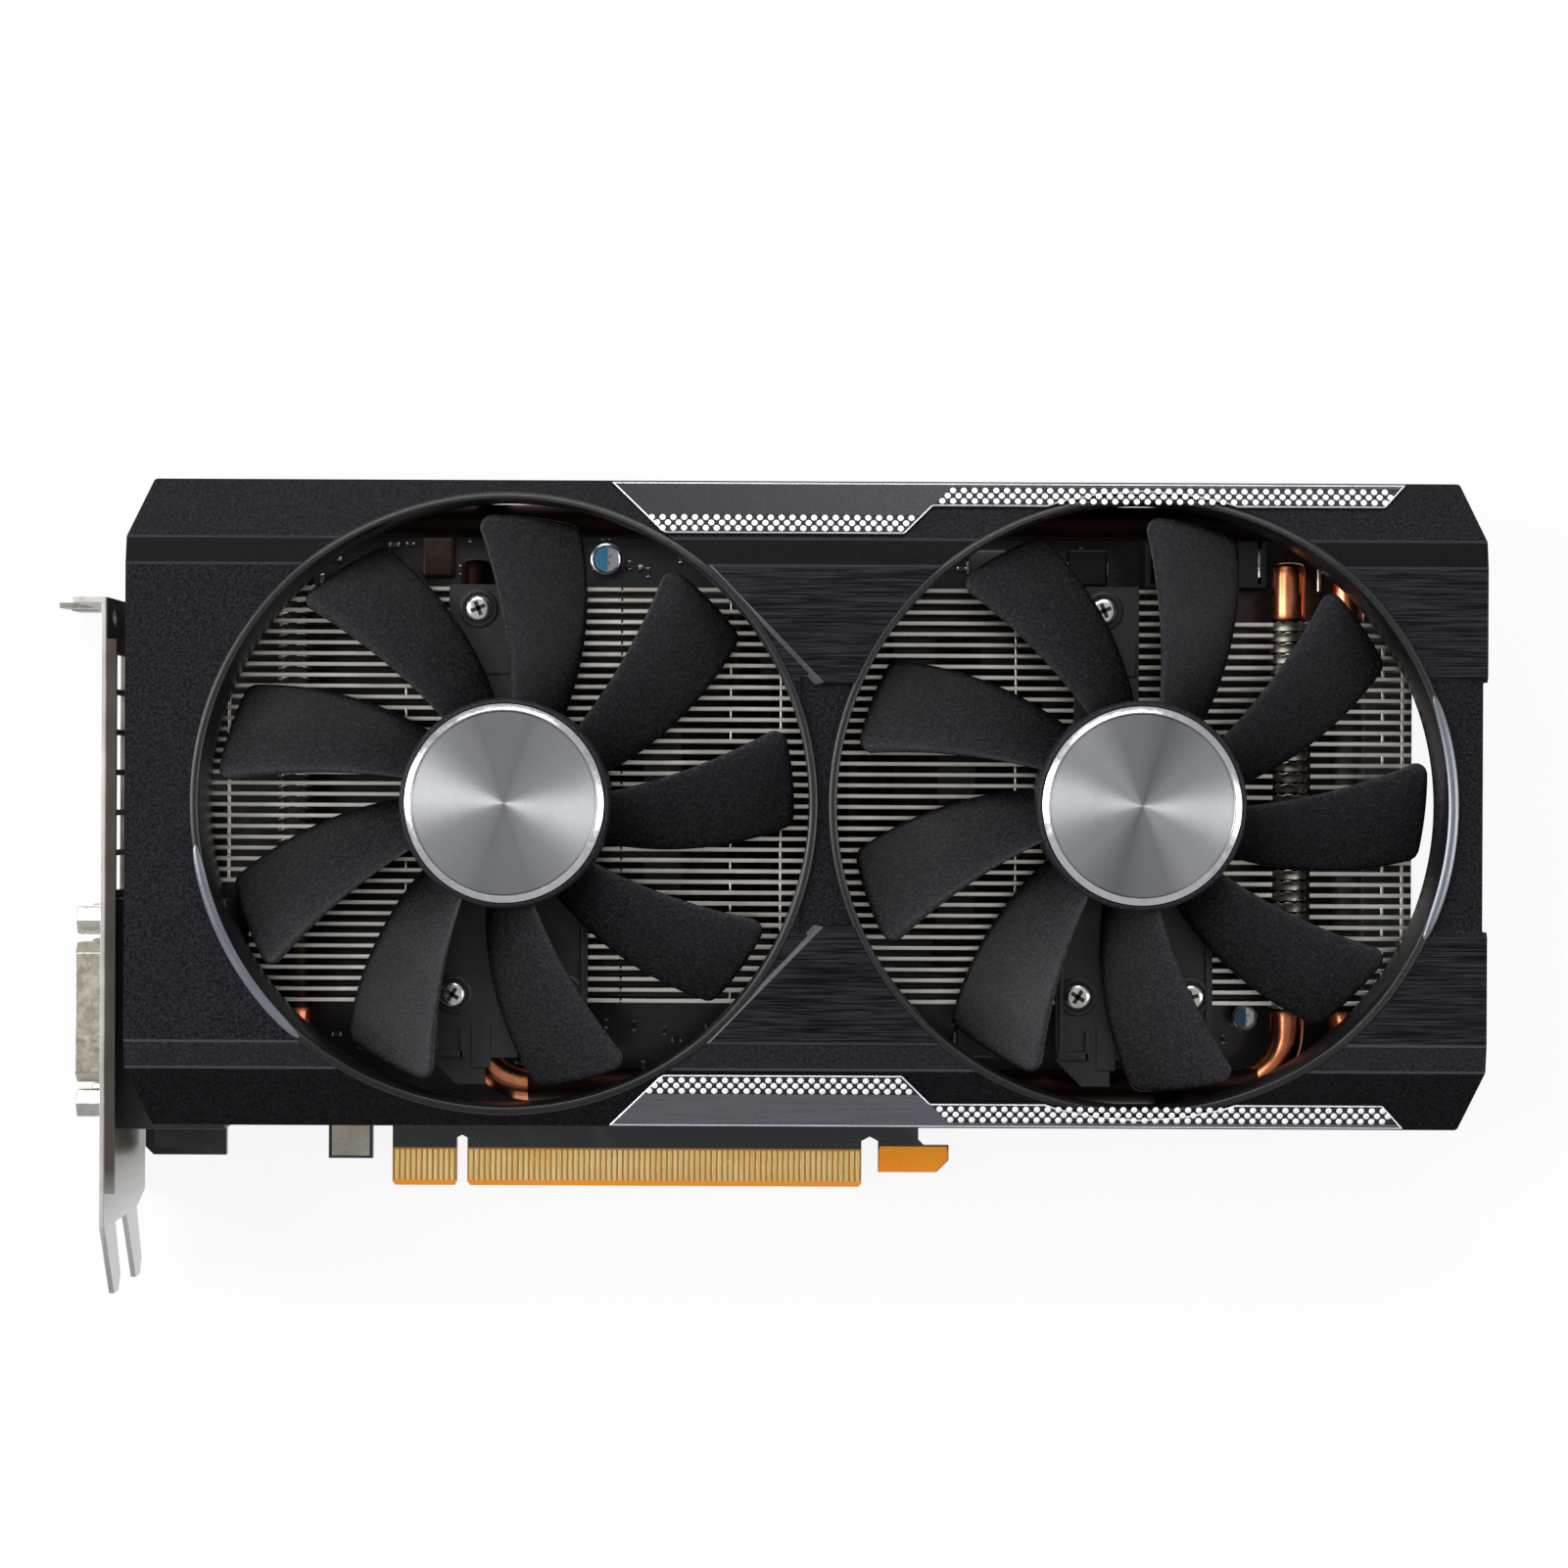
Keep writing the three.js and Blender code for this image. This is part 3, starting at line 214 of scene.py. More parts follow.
# ------------------------------------------------------------------ where the frame's pieces are

SIDES = ("left", "right")
cover_low, cover_high = place_of("shroud_skirt")[0], place_of("shroud")[1]
middle_y = (cover_low.y + cover_high.y) / 2
fan_x = {side: middle_of(f"hub_cap_{side}").x for side in SIDES}
neck_x = (fan_x["left"] + fan_x["right"]) / 2
cap_low, cap_high = place_of("hub_cap_left")
front = cap_high.z  # the plane of the shroud's face
hub_back = place_of("rotor_left")[0].z
board_low, board_high = place_of("circuit_board")
fins_low, fins_high = place_of("fin_stack")
LIP_REACH, BRACKET_THICKNESS = 11.43, 0.9  # the bracket's screw lip and its sheet
bracket_inner = place_of("bracket")[0].x + LIP_REACH + BRACKET_THICKNESS

OPENING_RADIUS = 52.3
TIP_RADIUS = 49.7
HUB_RADIUS = 18.1
PANEL_NEAR = 21.0  # the brushed panels start this far from the shroud's middle line
PANEL_FAR = 40.9  # and end here, where the slope to the edge band starts
BAND_INNER = 45.5
BAND_OUTER_DROP = 4.2
TRIM_NEAR, TRIM_FAR = 46.4, 51.3  # inner edges of a trim's two straight runs, from the middle line
FAN_PHASE = {"left": 0.0, "right": -6.2}
SHEEN = {"carrier_plastic": 0.4}  # specular level of the finishes that are duller than usual


# ------------------------------------------------------------------ finishes


def mottled(name, dark, light, roughness, scale, bump_mm, metallic=0.0):
    """A finish whose colour, gloss and surface all wander a little, at the scale of its own grain."""
    made = Finish(name, **{"Metallic": metallic, "Specular IOR Level": SHEEN.get(name, 0.5)})
    broad = made.noise(scale / 12, 3.0)
    fine = made.noise(scale, 2.0, 0.6)
    colour = made.mix(made.spread(broad + fine * 0.5, 0.45, 1.05, 0.0, 1.0), dark, light)
    gloss = made.spread(fine, 0.3, 0.7, roughness - 0.06, roughness + 0.06)
    return made.drive(Base_Color=colour, Roughness=gloss, Normal=made.bump(fine, 0.5, bump_mm)).material


def shroud_plastic():
    """Moulded black plastic: a fine grain all over, with long fine streaks on the brushed panels. Painted
    shade darkens the upper slope and the lower edge band, and a painted highlight lightens the folds and the
    lower slope.
    """
    made = Finish("shroud_plastic", **{"Specular IOR Level": 0.1})
    x, y, z = made.axes()
    grain = made.noise(2100.0, 2.0, 0.65)
    streaks = made.noise(1.0, 3.0, 0.7, made.stretched(90.0, 3600.0, 90.0))
    off_middle = abs(y - middle_y)
    brushed = (off_middle > PANEL_NEAR) * (off_middle < PANEL_FAR) * (x > neck_x - 24) * (z > front - 0.3)
    height = grain * (1 - brushed) + streaks * brushed
    moulded = made.mix(made.spread(grain, 0.36, 0.66, 0.0, 1.0), shade(1, 1, 2), shade(33, 33, 38))
    lined = made.mix(made.spread(streaks, 0.42, 0.66, 0.0, 1.0), shade(2, 2, 4), shade(44, 43, 50))
    patches = made.noise(60.0, 2.0)
    gloss = made.spread(height + patches * 0.4, 0.4, 1.0, 0.42, 0.6)
    face = z > front - BAND_OUTER_DROP - 0.5
    upper = y > middle_y
    slope = (off_middle > PANEL_FAR) * (off_middle < BAND_INNER) * face
    band = (off_middle > BAND_INNER) * face
    # painted shade: the upper slope and the lower edge band are darkened
    shaded = slope * upper * 0.75 + band * (1 - upper) * 0.6
    colour = made.mix(shaded, made.mix(brushed, moulded, lined), shade(0, 0, 1))
    # painted highlight: the folds and the lower slope are lightened
    fold = (abs(off_middle - PANEL_FAR) < 0.22) + (abs(off_middle - BAND_INNER) < 0.22)
    lit = fold * face * (0.7 - upper * 0.3) + slope * (1 - upper) * 0.14
    colour = made.mix(lit, colour, shade(66, 66, 72))
    return made.drive(Base_Color=colour, Roughness=gloss, Normal=made.bump(height, 0.8, 0.1)).material


def fan_plastic():
    """Satin black blades with a powdery grain of lighter specks, and painted shade: darker towards the low
    trailing edge, lighter towards the high leading edge, where the specks also grow.
    """
    made = Finish("fan_plastic", **{"Specular IOR Level": 0.13})
    _, _, z = made.axes()
    grain = made.noise(1900.0, 2.0, 0.7)
    cloud = made.noise(90.0, 2.0)
    # painted shade by height: dark at the low trailing edges, lighter at the high leading edges
    wear_and_painted_shade = made.spread(z, hub_back + 2.0, hub_back + 11.0, 0.0, 1.0)
    satin = made.mix(wear_and_painted_shade, shade(1, 1, 2), shade(27, 27, 30))
    colour = made.mix(made.spread(grain, 0.42, 0.72, 0.0, 0.3 + wear_and_painted_shade * 0.4), satin, shade(56, 56, 60))
    gloss = made.spread(cloud + grain * 0.3, 0.4, 0.9, 0.4, 0.52)
    return made.drive(Base_Color=colour, Roughness=gloss, Normal=made.bump(grain, 0.8, 0.08)).material


def cap_aluminium():
    """Spun aluminium: rings round each axis, so that the light gathers in two opposite fans, and a painted
    highlight that makes the colour lighter to the left and right of each axis.
    """
    made = Finish("cap_aluminium", **{"Metallic": 1.0, "Anisotropic": 0.85, "Anisotropic Rotation": 0.25})
    near_left = made.from_centre(fan_x["left"], middle_y)
    near_right = made.from_centre(fan_x["right"], middle_y)
    ring = made.math("MINIMUM", near_left, near_right)
    x, _, _ = made.axes()
    across = made.math("MINIMUM", abs(x - fan_x["left"]), abs(x - fan_x["right"]))
    # painted highlight: the colour is lighter left and right of each axis, darker above and below it
    sweep = made.spread(across / (ring + 0.01), 0.3, 0.75, 0.0, 1.0)
    sockets = {"W": ring, "Scale": 9.0, "Detail": 4.0}
    turned = made.node("ShaderNodeTexNoise", {"noise_dimensions": "1D"}, sockets)[0]
    cloud = made.noise(140.0, 2.0)
    lit = made.mix(sweep, shade(131, 132, 135), shade(186, 187, 190))
    colour = made.mix(made.spread(turned, 0.3, 0.7, 0.35, 0.0), lit, shade(98, 99, 102))
    gloss = made.spread(turned * 0.7 + cloud * 0.5, 0.35, 0.9, 0.3, 0.42)
    return made.drive(Base_Color=colour, Roughness=gloss, Normal=made.bump(turned, 0.35, 0.02)).material


def drawn_metal(name, dark, light, roughness, along):
    """Rolled or drawn metal with fine lines along one axis; along gives the pattern's scale on each axis."""
    made = Finish(name, Metallic=1.0)
    lines = made.noise(1.0, 3.0, 0.6, made.stretched(*along))
    stain = made.noise(120.0, 3.0, 0.6)
    colour = made.mix(made.spread(lines * 0.5 + stain * 0.7, 0.4, 0.8, 0.0, 1.0), dark, light)
    gloss = made.spread(lines + stain, 0.7, 1.3, roughness - 0.07, roughness + 0.09)
    return made.drive(Base_Color=colour, Roughness=gloss, Normal=made.bump(lines, 0.35, 0.01)).material


def pipe_copper():
    """Bare drawn copper, with painted shade: dark inside the fins, on the cold plate and along most of the
    outer runs.
    """
    made = Finish("copper", Metallic=1.0)
    x, y, z = made.axes()
    lines = made.noise(300.0, 3.0, 0.6)
    stain = made.noise(120.0, 3.0, 0.6)
    cloud = made.spread(lines * 0.5 + stain * 0.7, 0.4, 0.8, 0.0, 1.0)
    bare = made.mix(cloud, shade(168, 84, 54), shade(228, 148, 106))
    off_middle = abs(y - middle_y)
    upper = y > middle_y
    # painted shade: the copper is dark inside the fins, along the outer runs and on the cold plate
    inside = made.spread(off_middle + stain + (x > 100) * upper * 3.2, 36.6, 37.6, 1.0, 0.0)
    painted_shade_upper_run = upper * (off_middle > 34) * (x < 104 + (off_middle > 45) * 8)
    painted_shade_lower_run = (1 - upper) * (off_middle > 46.3) * (x > -23.5) * (x < 105)
    on_plate = made.spread(z, 9.5, 13.0, 1.0, 0.0)
    dark = made.math("MAXIMUM", made.math("MAXIMUM", inside, on_plate), painted_shade_upper_run + painted_shade_lower_run)
    colour = made.mix(dark, bare, shade(30, 19, 15))
    gloss = made.spread(dark + stain * 0.4, 0.1, 1.2, 0.24, 0.5)
    return made.drive(Base_Color=colour, Roughness=gloss, Normal=made.bump(lines, 0.35, 0.01)).material


def board_laminate():
    """Black solder mask over copper: bundles of tracks and small vias stand up under it."""
    made = Finish("board_laminate", **{"Coat Weight": 0.4, "Coat Roughness": 0.15})
    x, y, _ = made.axes()
    sheet = made.noise(55.0, 1.0)
    bends = made.math("SINE", (x * 0.35 + y * 0.2) * (sheet * 1.5 + 0.6))
    tracks = made.math("SINE", (y + bends * 2.2) * 9.0)
    bundle = made.spread(made.noise(38.0, 1.0), 0.47, 0.53, 0.0, 1.0)
    raised = made.spread(tracks, -0.1, 0.3, 0.0, 1.0) * bundle
    sockets = {"Vector": made.place, "Scale": 340.0, "Randomness": 0.9}
    cells = made.node("ShaderNodeTexVoronoi", None, sockets)["Distance"]
    vias = made.spread(cells, 0.1, 0.16, 1.0, 0.0)
    height = made.math("MAXIMUM", raised, vias)
    mask = made.mix(height, shade(13, 14, 15), shade(25, 28, 30))
    bare = made.mix(y < 0.95, shade(190, 124, 40), shade(255, 156, 24))
    colour = made.mix((y < 6.8) * (x > -49.4), mask, bare)
    gloss = made.spread(made.noise(900.0), 0.3, 0.7, 0.32, 0.42)
    return made.drive(Base_Color=colour, Roughness=gloss, Normal=made.bump(height, 0.5, 0.03)).material


def trim_metal():
    """Painted satin grey, with a black ground under the printed dots along its inner edge. A painted sheen
    lightens it towards the far end, and painted light makes the lower trim lighter than the upper one.
    """
    made = Finish("trim_metal", **{"Metallic": 0.55, "Specular IOR Level": 0.4})
    x, y, _ = made.axes()
    grain = made.noise(3200.0, 2.0, 0.6)
    streaks = made.noise(1.0, 2.0, 0.6, made.stretched(60.0, 2500.0, 60.0))
    off_middle = abs(y - middle_y)
    near_run = off_middle - TRIM_NEAR
    near_ground = (near_run > 0.3) * (near_run < 3.35) * (x > 0.9 - near_run) * (x < 41.7 + near_run)
    far_run = off_middle - TRIM_FAR
    far_ground = (far_run > 0.3) * (far_run < 3.35) * (x > 46.6 + far_run) * (x < 124.1 + far_run)
    ground = near_ground + far_ground
    # painted sheen towards the far end, and painted light on the lower trim
    sheen = made.spread(x, -8.0, 128.0, 0.0, 1.0)
    painted = made.mix(sheen, shade(22, 22, 26), shade(68, 67, 74))
    painted = made.mix((y < middle_y) * 0.85, painted, shade(112, 111, 118))
    wear_and_painted_shade = made.mix(made.spread(grain + streaks, 0.7, 1.3, 0.0, 0.35), painted, shade(30, 30, 34))
    colour = made.mix(ground * 0.8, wear_and_painted_shade, shade(14, 14, 16))
    gloss = made.spread(grain, 0.3, 0.7, 0.36, 0.46)
    return made.drive(Base_Color=colour, Roughness=gloss, Normal=made.bump(grain, 0.4, 0.03)).material


def bracket_steel():
    """Zinc-plated sheet, streaked along its length, with painted shade on the inner face of its front edge, a
    painted highlight on the outer lip, and a painted highlight over the tangs.
    """
    made = Finish("bracket_steel", Metallic=1.0)
    x, y, z = made.axes()
    lines = made.noise(1.0, 3.0, 0.6, made.stretched(500.0, 30.0, 700.0))
    stain = made.noise(120.0, 3.0, 0.6)
    streaked = made.spread(lines * 0.5 + stain * 0.7, 0.4, 0.8, 0.0, 1.0)
    plain = made.mix(streaked, shade(104, 100, 95), shade(156, 151, 144))
    # painted shade and painted highlight along the front edge, and a painted highlight over the tangs
    front_edge = z > 33.0
    colour = made.mix(front_edge * (x > bracket_inner), plain, shade(84, 78, 72))
    colour = made.mix(front_edge * (x < bracket_inner - 0.2), colour, shade(206, 203, 196))
    colour = made.mix(made.spread(y, -4.0, 6.0, 0.75, 0.0), colour, shade(214, 217, 217))
    gloss = made.spread(lines + stain, 0.7, 1.3, 0.29, 0.45)
    return made.drive(Base_Color=colour, Roughness=gloss, Normal=made.bump(lines, 0.35, 0.01)).material


def braided_sleeve():
    """Black sleeve over the fan leads, woven on the slant."""
    made = Finish("lead_sleeve", Roughness=0.6)
    x, y, z = made.axes()
    weave = made.math("SINE", (x + y + z) * 11.0) * made.math("SINE", (x - y - z) * 11.0)
    colour = made.mix(made.spread(weave, -0.6, 0.6, 0.0, 1.0), shade(14, 14, 15), shade(34, 34, 36))
    return made.drive(Base_Color=colour, Normal=made.bump(weave, 0.6, 0.1)).material


finishes = {
    "shroud_plastic": shroud_plastic(),
    "trim_metal": trim_metal(),
    "fan_plastic": fan_plastic(),
    "cap_aluminium": cap_aluminium(),
    "copper": pipe_copper(),
    "board_laminate": board_laminate(),
    "bracket_steel": bracket_steel(),
    "lead_sleeve": braided_sleeve(),
}
# Name, dark and light tone, roughness, scale of the grain, depth of the grain in millimetres, metallic.
MOTTLED = (
    ("carrier_plastic", (15, 15, 17), (30, 30, 33), 0.5, 2400.0, 0.03),
    # Light grey for the trims' rounded edges: painted highlight.
    ("trim_edge", (196, 196, 200), (232, 232, 236), 0.3, 1500.0, 0.01, 0.7),
    ("print_white", (226, 226, 228), (248, 248, 250), 0.5, 2400.0, 0.01),
    # Lighter grey for the neck panels' left-facing facets: painted highlight.
    ("worn_edge", (44, 45, 50), (72, 73, 80), 0.42, 2200.0, 0.03),
    ("rim_gloss", (6, 6, 8), (14, 14, 17), 0.4, 1500.0, 0.01),
    # Light grey strips in the lips of the fan openings: painted highlight.
    ("rim_flash", (104, 107, 114), (122, 125, 132), 0.26, 160.0, 0.002, 0.5),
    ("cap_edge", (206, 207, 210), (240, 241, 244), 0.2, 700.0, 0.005, 1.0),
    # Dark copper for the cold plate: painted shade.
    ("stained_copper", (38, 26, 22), (92, 56, 42), 0.5, 500.0, 0.02, 0.8),
    # Dark aluminium inside the collars: painted shade.
    ("shaded_aluminium", (14, 13, 13), (34, 32, 31), 0.6, 800.0, 0.01, 0.3),
    # Dark colour for recesses, holes, slots and thread: painted shadow.
    ("screw_shadow", (12, 12, 12), (30, 29, 27), 0.6, 900.0, 0.01),
    ("bearing_bronze", (138, 98, 52), (176, 132, 78), 0.4, 1500.0, 0.02, 1.0),
    ("chip_resin", (20, 20, 22), (40, 40, 43), 0.55, 2600.0, 0.02),
    ("package_substrate", (26, 62, 40), (44, 84, 54), 0.4, 900.0, 0.01),
    ("capacitor_can", (178, 180, 184), (214, 216, 220), 0.28, 900.0, 0.01, 1.0),
    ("capacitor_mark", (60, 146, 198), (104, 184, 226), 0.4, 900.0, 0.01),
    ("socket_plastic", (14, 14, 16), (28, 28, 30), 0.45, 2200.0, 0.02),
    ("hook_gold", (255, 140, 6), (255, 168, 24), 0.4, 1300.0, 0.01),
    ("solder", (158, 158, 156), (206, 206, 204), 0.32, 1800.0, 0.03, 1.0),
    ("label_foil", (150, 144, 128), (196, 190, 174), 0.36, 1400.0, 0.03, 0.6),
    ("ceramic", (98, 76, 56), (150, 122, 92), 0.45, 1600.0, 0.02),
    ("ferrite", (40, 40, 42), (66, 66, 68), 0.5, 1900.0, 0.04),
    ("tarnished_tin", (44, 34, 28), (78, 64, 54), 0.45, 900.0, 0.02, 0.5),
    ("dull_tin", (146, 138, 124), (214, 206, 190), 0.34, 700.0, 0.02, 1.0),
)
# Name, dark and light tone, roughness, scale of the lines on each axis.
DRAWN = (
    ("fin_aluminium", (196, 187, 176), (242, 236, 226), 0.32, (30.0, 1200.0, 1200.0)),
    ("plated_steel", (150, 144, 136), (206, 201, 193), 0.32, (500.0, 30.0, 500.0)),
    ("screw_steel", (196, 193, 186), (238, 236, 230), 0.25, (800.0, 800.0, 90.0)),
    ("contact_gold", (255, 214, 124), (255, 240, 176), 0.34, (900.0, 60.0, 900.0)),
)
for maker, table in ((mottled, MOTTLED), (drawn_metal, DRAWN)):
    for name, dark, light, *rest in table:
        finishes[name] = maker(name, shade(*dark), shade(*light), *rest)


# ------------------------------------------------------------------ meshes


def placed(name, mesh):
    """An object at the origin that holds a mesh."""
    made = bpy.data.objects.new(name, mesh)
    bpy.context.scene.collection.objects.link(made)
    return made


def mesh_object(name, points, faces, finish=None):
    """An object at the origin from points in millimetres."""
    mesh = bpy.data.meshes.new(name)
    mesh.from_pydata([Vector(p) * MM for p in points], [], faces)
    mesh.validate()
    if finish:
        mesh.materials.append(finishes[finish])
    return placed(name, mesh)


def smooth(made, angle=30):
    """Smooth shading, broken along edges sharper than the angle."""
    made.data.shade_smooth()
    made.data.set_sharp_from_angle(angle=math.radians(angle))
    return made


def outward(made):
    """Merges doubles and turns every face outwards."""
    work = bmesh.new()
    work.from_mesh(made.data)
    bmesh.ops.remove_doubles(work, verts=work.verts, dist=1e-6)
    bmesh.ops.recalc_face_normals(work, faces=work.faces)
    work.to_mesh(made.data)
    work.free()
    return made


def settle(made):
    """Turns an object with modifiers into a plain mesh."""
    result = bpy.data.meshes.new_from_object(made.evaluated_get(bpy.context.evaluated_depsgraph_get()))
    made.modifiers.clear()
    old = made.data
    made.data = result
    result.name = made.name
    bpy.data.meshes.remove(old)
    return made


def discard(*objects):
    """Removes objects that were only tools or patterns."""
    for item in objects:
        mesh = item.data
        bpy.data.objects.remove(item)
        bpy.data.meshes.remove(mesh)


def merge(name, *objects):
    """Joins plain meshes into one object, keeping each one's finish."""
    work = bmesh.new()
    materials = []
    for item in objects:
        first = len(work.faces)
        work.from_mesh(item.data)
        work.faces.ensure_lookup_table()
        slots = []
        for material in item.data.materials:
            if material not in materials:
                materials.append(material)
            slots.append(materials.index(material))
        for face in work.faces[first:]:
            face.material_index = slots[face.material_index] if slots else 0
    mesh = bpy.data.meshes.new(name)
    work.to_mesh(mesh)
    work.free()
    for material in materials:
        mesh.materials.append(material)
    discard(*objects)
    return placed(name, mesh)


def rounded(made, width, segments=2, angle=28, edge_finish=None):
    """Rounds the sharp edges; the rounding can have a finish of its own."""
    bevel = made.modifiers.new("round", "BEVEL")
    bevel.width = width * MM
    bevel.segments = segments
    bevel.limit_method = "ANGLE"
    bevel.angle_limit = math.radians(angle)
    bevel.miter_outer = "MITER_ARC"
    if edge_finish:
        made.data.materials.append(finishes[edge_finish])
        bevel.material = len(made.data.materials) - 1
    normals = made.modifiers.new("normals", "WEIGHTED_NORMAL")
    normals.keep_sharp = True
    made.data.shade_smooth()
    return settle(made)


def copy_of(node, finish, name=None, pierced=False):
    """A copy of a frame node with its triangles merged into whole faces, except where a face is pierced."""
    name = name or node
    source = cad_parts[node].data
    work = bmesh.new()
    points = [work.verts.new(v.co) for v in source.vertices]
    for face in source.polygons:
        work.faces.new([points[i] for i in face.vertices])
    bmesh.ops.remove_doubles(work, verts=work.verts, dist=2e-6)
    bmesh.ops.dissolve_limit(work, angle_limit=math.radians(0.6), verts=work.verts, edges=work.edges)
    if pierced:
        bmesh.ops.triangulate(work, faces=[face for face in work.faces if len(face.verts) > 4])
    mesh = bpy.data.meshes.new(name)
    work.to_mesh(mesh)
    work.free()
    mesh.materials.append(finishes[finish])
    return placed(name, mesh)


def thickened(made, thickness):
    """Gives an open skin a thickness in millimetres."""
    thick = made.modifiers.new("thick", "SOLIDIFY")
    thick.thickness = thickness * MM
    return settle(made)


def skin(rows, width, ring=False, closed=False):
    """Faces between neighbouring rows of points; the rows can stand in a ring, and each row can close."""
    faces = []
    for i in range(rows if ring else rows - 1):
        here, there = i * width, (i + 1) % rows * width
        for j in range(width if closed else width - 1):
            k = (j + 1) % width
            faces.append((here + j, there + j, there + k, here + k))
    return faces


def lathe(name, profile, sides, centre, finish, closed=False):
    """A profile of radius and height turned about the upright axis through the centre."""
    points = []
    for i in range(sides):
        turn = TAU * i / sides
        points += [(centre[0] + r * math.cos(turn), centre[1] + r * math.sin(turn), z) for r, z in profile]
    return outward(mesh_object(name, points, skin(sides, len(profile), ring=True, closed=closed), finish))


def moved(made, place, turn=0.0, axis="Z"):
    """Turns a mesh about an axis through the origin, then carries it to a place in millimetres."""
    made.data.transform(Matrix.Translation(Vector(place) * MM) @ Matrix.Rotation(turn, 4, axis))
    return made


def flipped(made):
    """Turns a mesh over, so that it hangs from the back of what it would stand on."""
    return moved(made, (0, 0, 0), math.pi, "X")


def rectangle(x, y):
    """The four corners of a rectangle that spans x and y."""
    return [(x[0], y[0]), (x[1], y[0]), (x[1], y[1]), (x[0], y[1])]


def plate(name, outline, z0, z1, finish):
    """A flat outline in X and Y with a thickness."""
    count = len(outline)
    points = [(x, y, z0) for x, y in outline] + [(x, y, z1) for x, y in outline]
    faces = [tuple(range(count))[::-1], tuple(range(count, 2 * count))]
    faces += [(i, (i + 1) % count, count + (i + 1) % count, count + i) for i in range(count)]
    return outward(mesh_object(name, points, faces, finish))


def block(name, x, y, z, finish, width=0.15, segments=2):
    """A rectangular moulding with its edges rounded."""
    return rounded(plate(name, rectangle(x, y), z[0], z[1], finish), width, segments)


def along_x(name, outline, x0, x1, finish):
    """An outline in Y and Z drawn out along X."""
    made = plate(name, outline, x0, x1, finish)
    made.data.transform(Matrix(((0, 0, 1, 0), (1, 0, 0, 0), (0, 1, 0, 0), (0, 0, 0, 1))))
    return outward(made)


def along_y(name, outline, y0, y1, finish):
    """An outline in X and Z drawn out along Y."""
    made = plate(name, outline, y0, y1, finish)
    made.data.transform(Matrix(((1, 0, 0, 0), (0, 0, 1, 0), (0, 1, 0, 0), (0, 0, 0, 1))))
    return outward(made)


def carve(made, *tools, operation="DIFFERENCE"):
    """Cuts tools away from an object, or keeps only their common part."""
    for tool in tools:
        step = made.modifiers.new("carve", "BOOLEAN")
        step.operation = operation
        step.solver = "EXACT"
        step.object = tool
    settle(made)
    discard(*tools)
    return made


# ------------------------------------------------------------------ geometry nodes


class Shape(Graph):
    """A geometry tree: it takes a mesh and named sizes, and ends in real faces with one finish."""

    def __init__(self, name, **inputs):
        tree = bpy.data.node_groups.new(name, "GeometryNodeTree")
        super().__init__(tree)
        tree.interface.new_socket("Geometry", in_out="INPUT", socket_type="NodeSocketGeometry")
        for key, kind in inputs.items():
            tree.interface.new_socket(key.replace("_", " "), in_out="INPUT", socket_type=f"NodeSocket{kind}")
        tree.interface.new_socket("Finish", in_out="INPUT", socket_type="NodeSocketMaterial")
        tree.interface.new_socket("Geometry", in_out="OUTPUT", socket_type="NodeSocketGeometry")
        self.given = self.node("NodeGroupInput")

    def end(self, geometry):
        """Makes the copies real, gives them their finish and closes the tree."""
        real = self.node("GeometryNodeRealizeInstances", None, {"Geometry": geometry})["Geometry"]
        sockets = {"Geometry": real, "Material": self.given["Finish"]}
        dressed = self.node("GeometryNodeSetMaterial", None, sockets)["Geometry"]
        output = self.tree.nodes.new("NodeGroupOutput")
        self.tree.links.new(dressed.socket, output.inputs[0])
        return self.tree


def grow(tree, base, name, finish, **values):
    """Runs a geometry tree on a base object and leaves a plain mesh."""
    base.name = name
    step = base.modifiers.new("grow", "NODES")
    step.node_group = tree
    values = {key.replace("_", " "): value for key, value in values.items()} | {"Finish": finishes[finish]}
    for item in tree.interface.items_tree:
        if item.in_out == "INPUT" and item.name in values:
            step[item.identifier] = values[item.name]
    return settle(base)


def row_of(piece, name, finish, count, step):
    """Copies of a piece in a straight row, each a step in millimetres from the last."""
    return grow(in_row, piece, name, finish, Count=count, Step=Vector(step) * MM)


def ring_tree():
    """Copies of the base set round an upright axis at equal angles."""
    shape = Shape("set_round_an_axis", Count="Int", Centre="Vector", Phase="Float")
    given = shape.given
    away = shape.node("ShaderNodeVectorMath", {"operation": "SCALE"}, {0: given["Centre"], "Scale": -1.0})[0]
    sockets = {"Geometry": given["Geometry"], "Translation": away}
    centred = shape.node("GeometryNodeTransform", None, sockets)[0]
    line = shape.node("GeometryNodeMeshLine", None, {"Count": given["Count"], "Offset": (0, 0, 0)})[0]
    turn = shape.node("GeometryNodeInputIndex")[0] * TAU / given["Count"] + given["Phase"]
    rotation = shape.node("ShaderNodeCombineXYZ", None, {"Z": turn})[0]
    sockets = {"Points": line, "Instance": centred, "Rotation": rotation}
    copies = shape.node("GeometryNodeInstanceOnPoints", None, sockets)[0]
    back = shape.node("GeometryNodeTransform", None, {"Geometry": copies, "Translation": given["Centre"]})[0]
    return shape.end(back)


def row_tree():
    """Copies of the base in a straight row."""
    shape = Shape("set_in_a_row", Count="Int", Step="Vector")
    given = shape.given
    line = shape.node("GeometryNodeMeshLine", None, {"Count": given["Count"], "Offset": given["Step"]})[0]
    sockets = {"Points": line, "Instance": given["Geometry"]}
    return shape.end(shape.node("GeometryNodeInstanceOnPoints", None, sockets)[0])


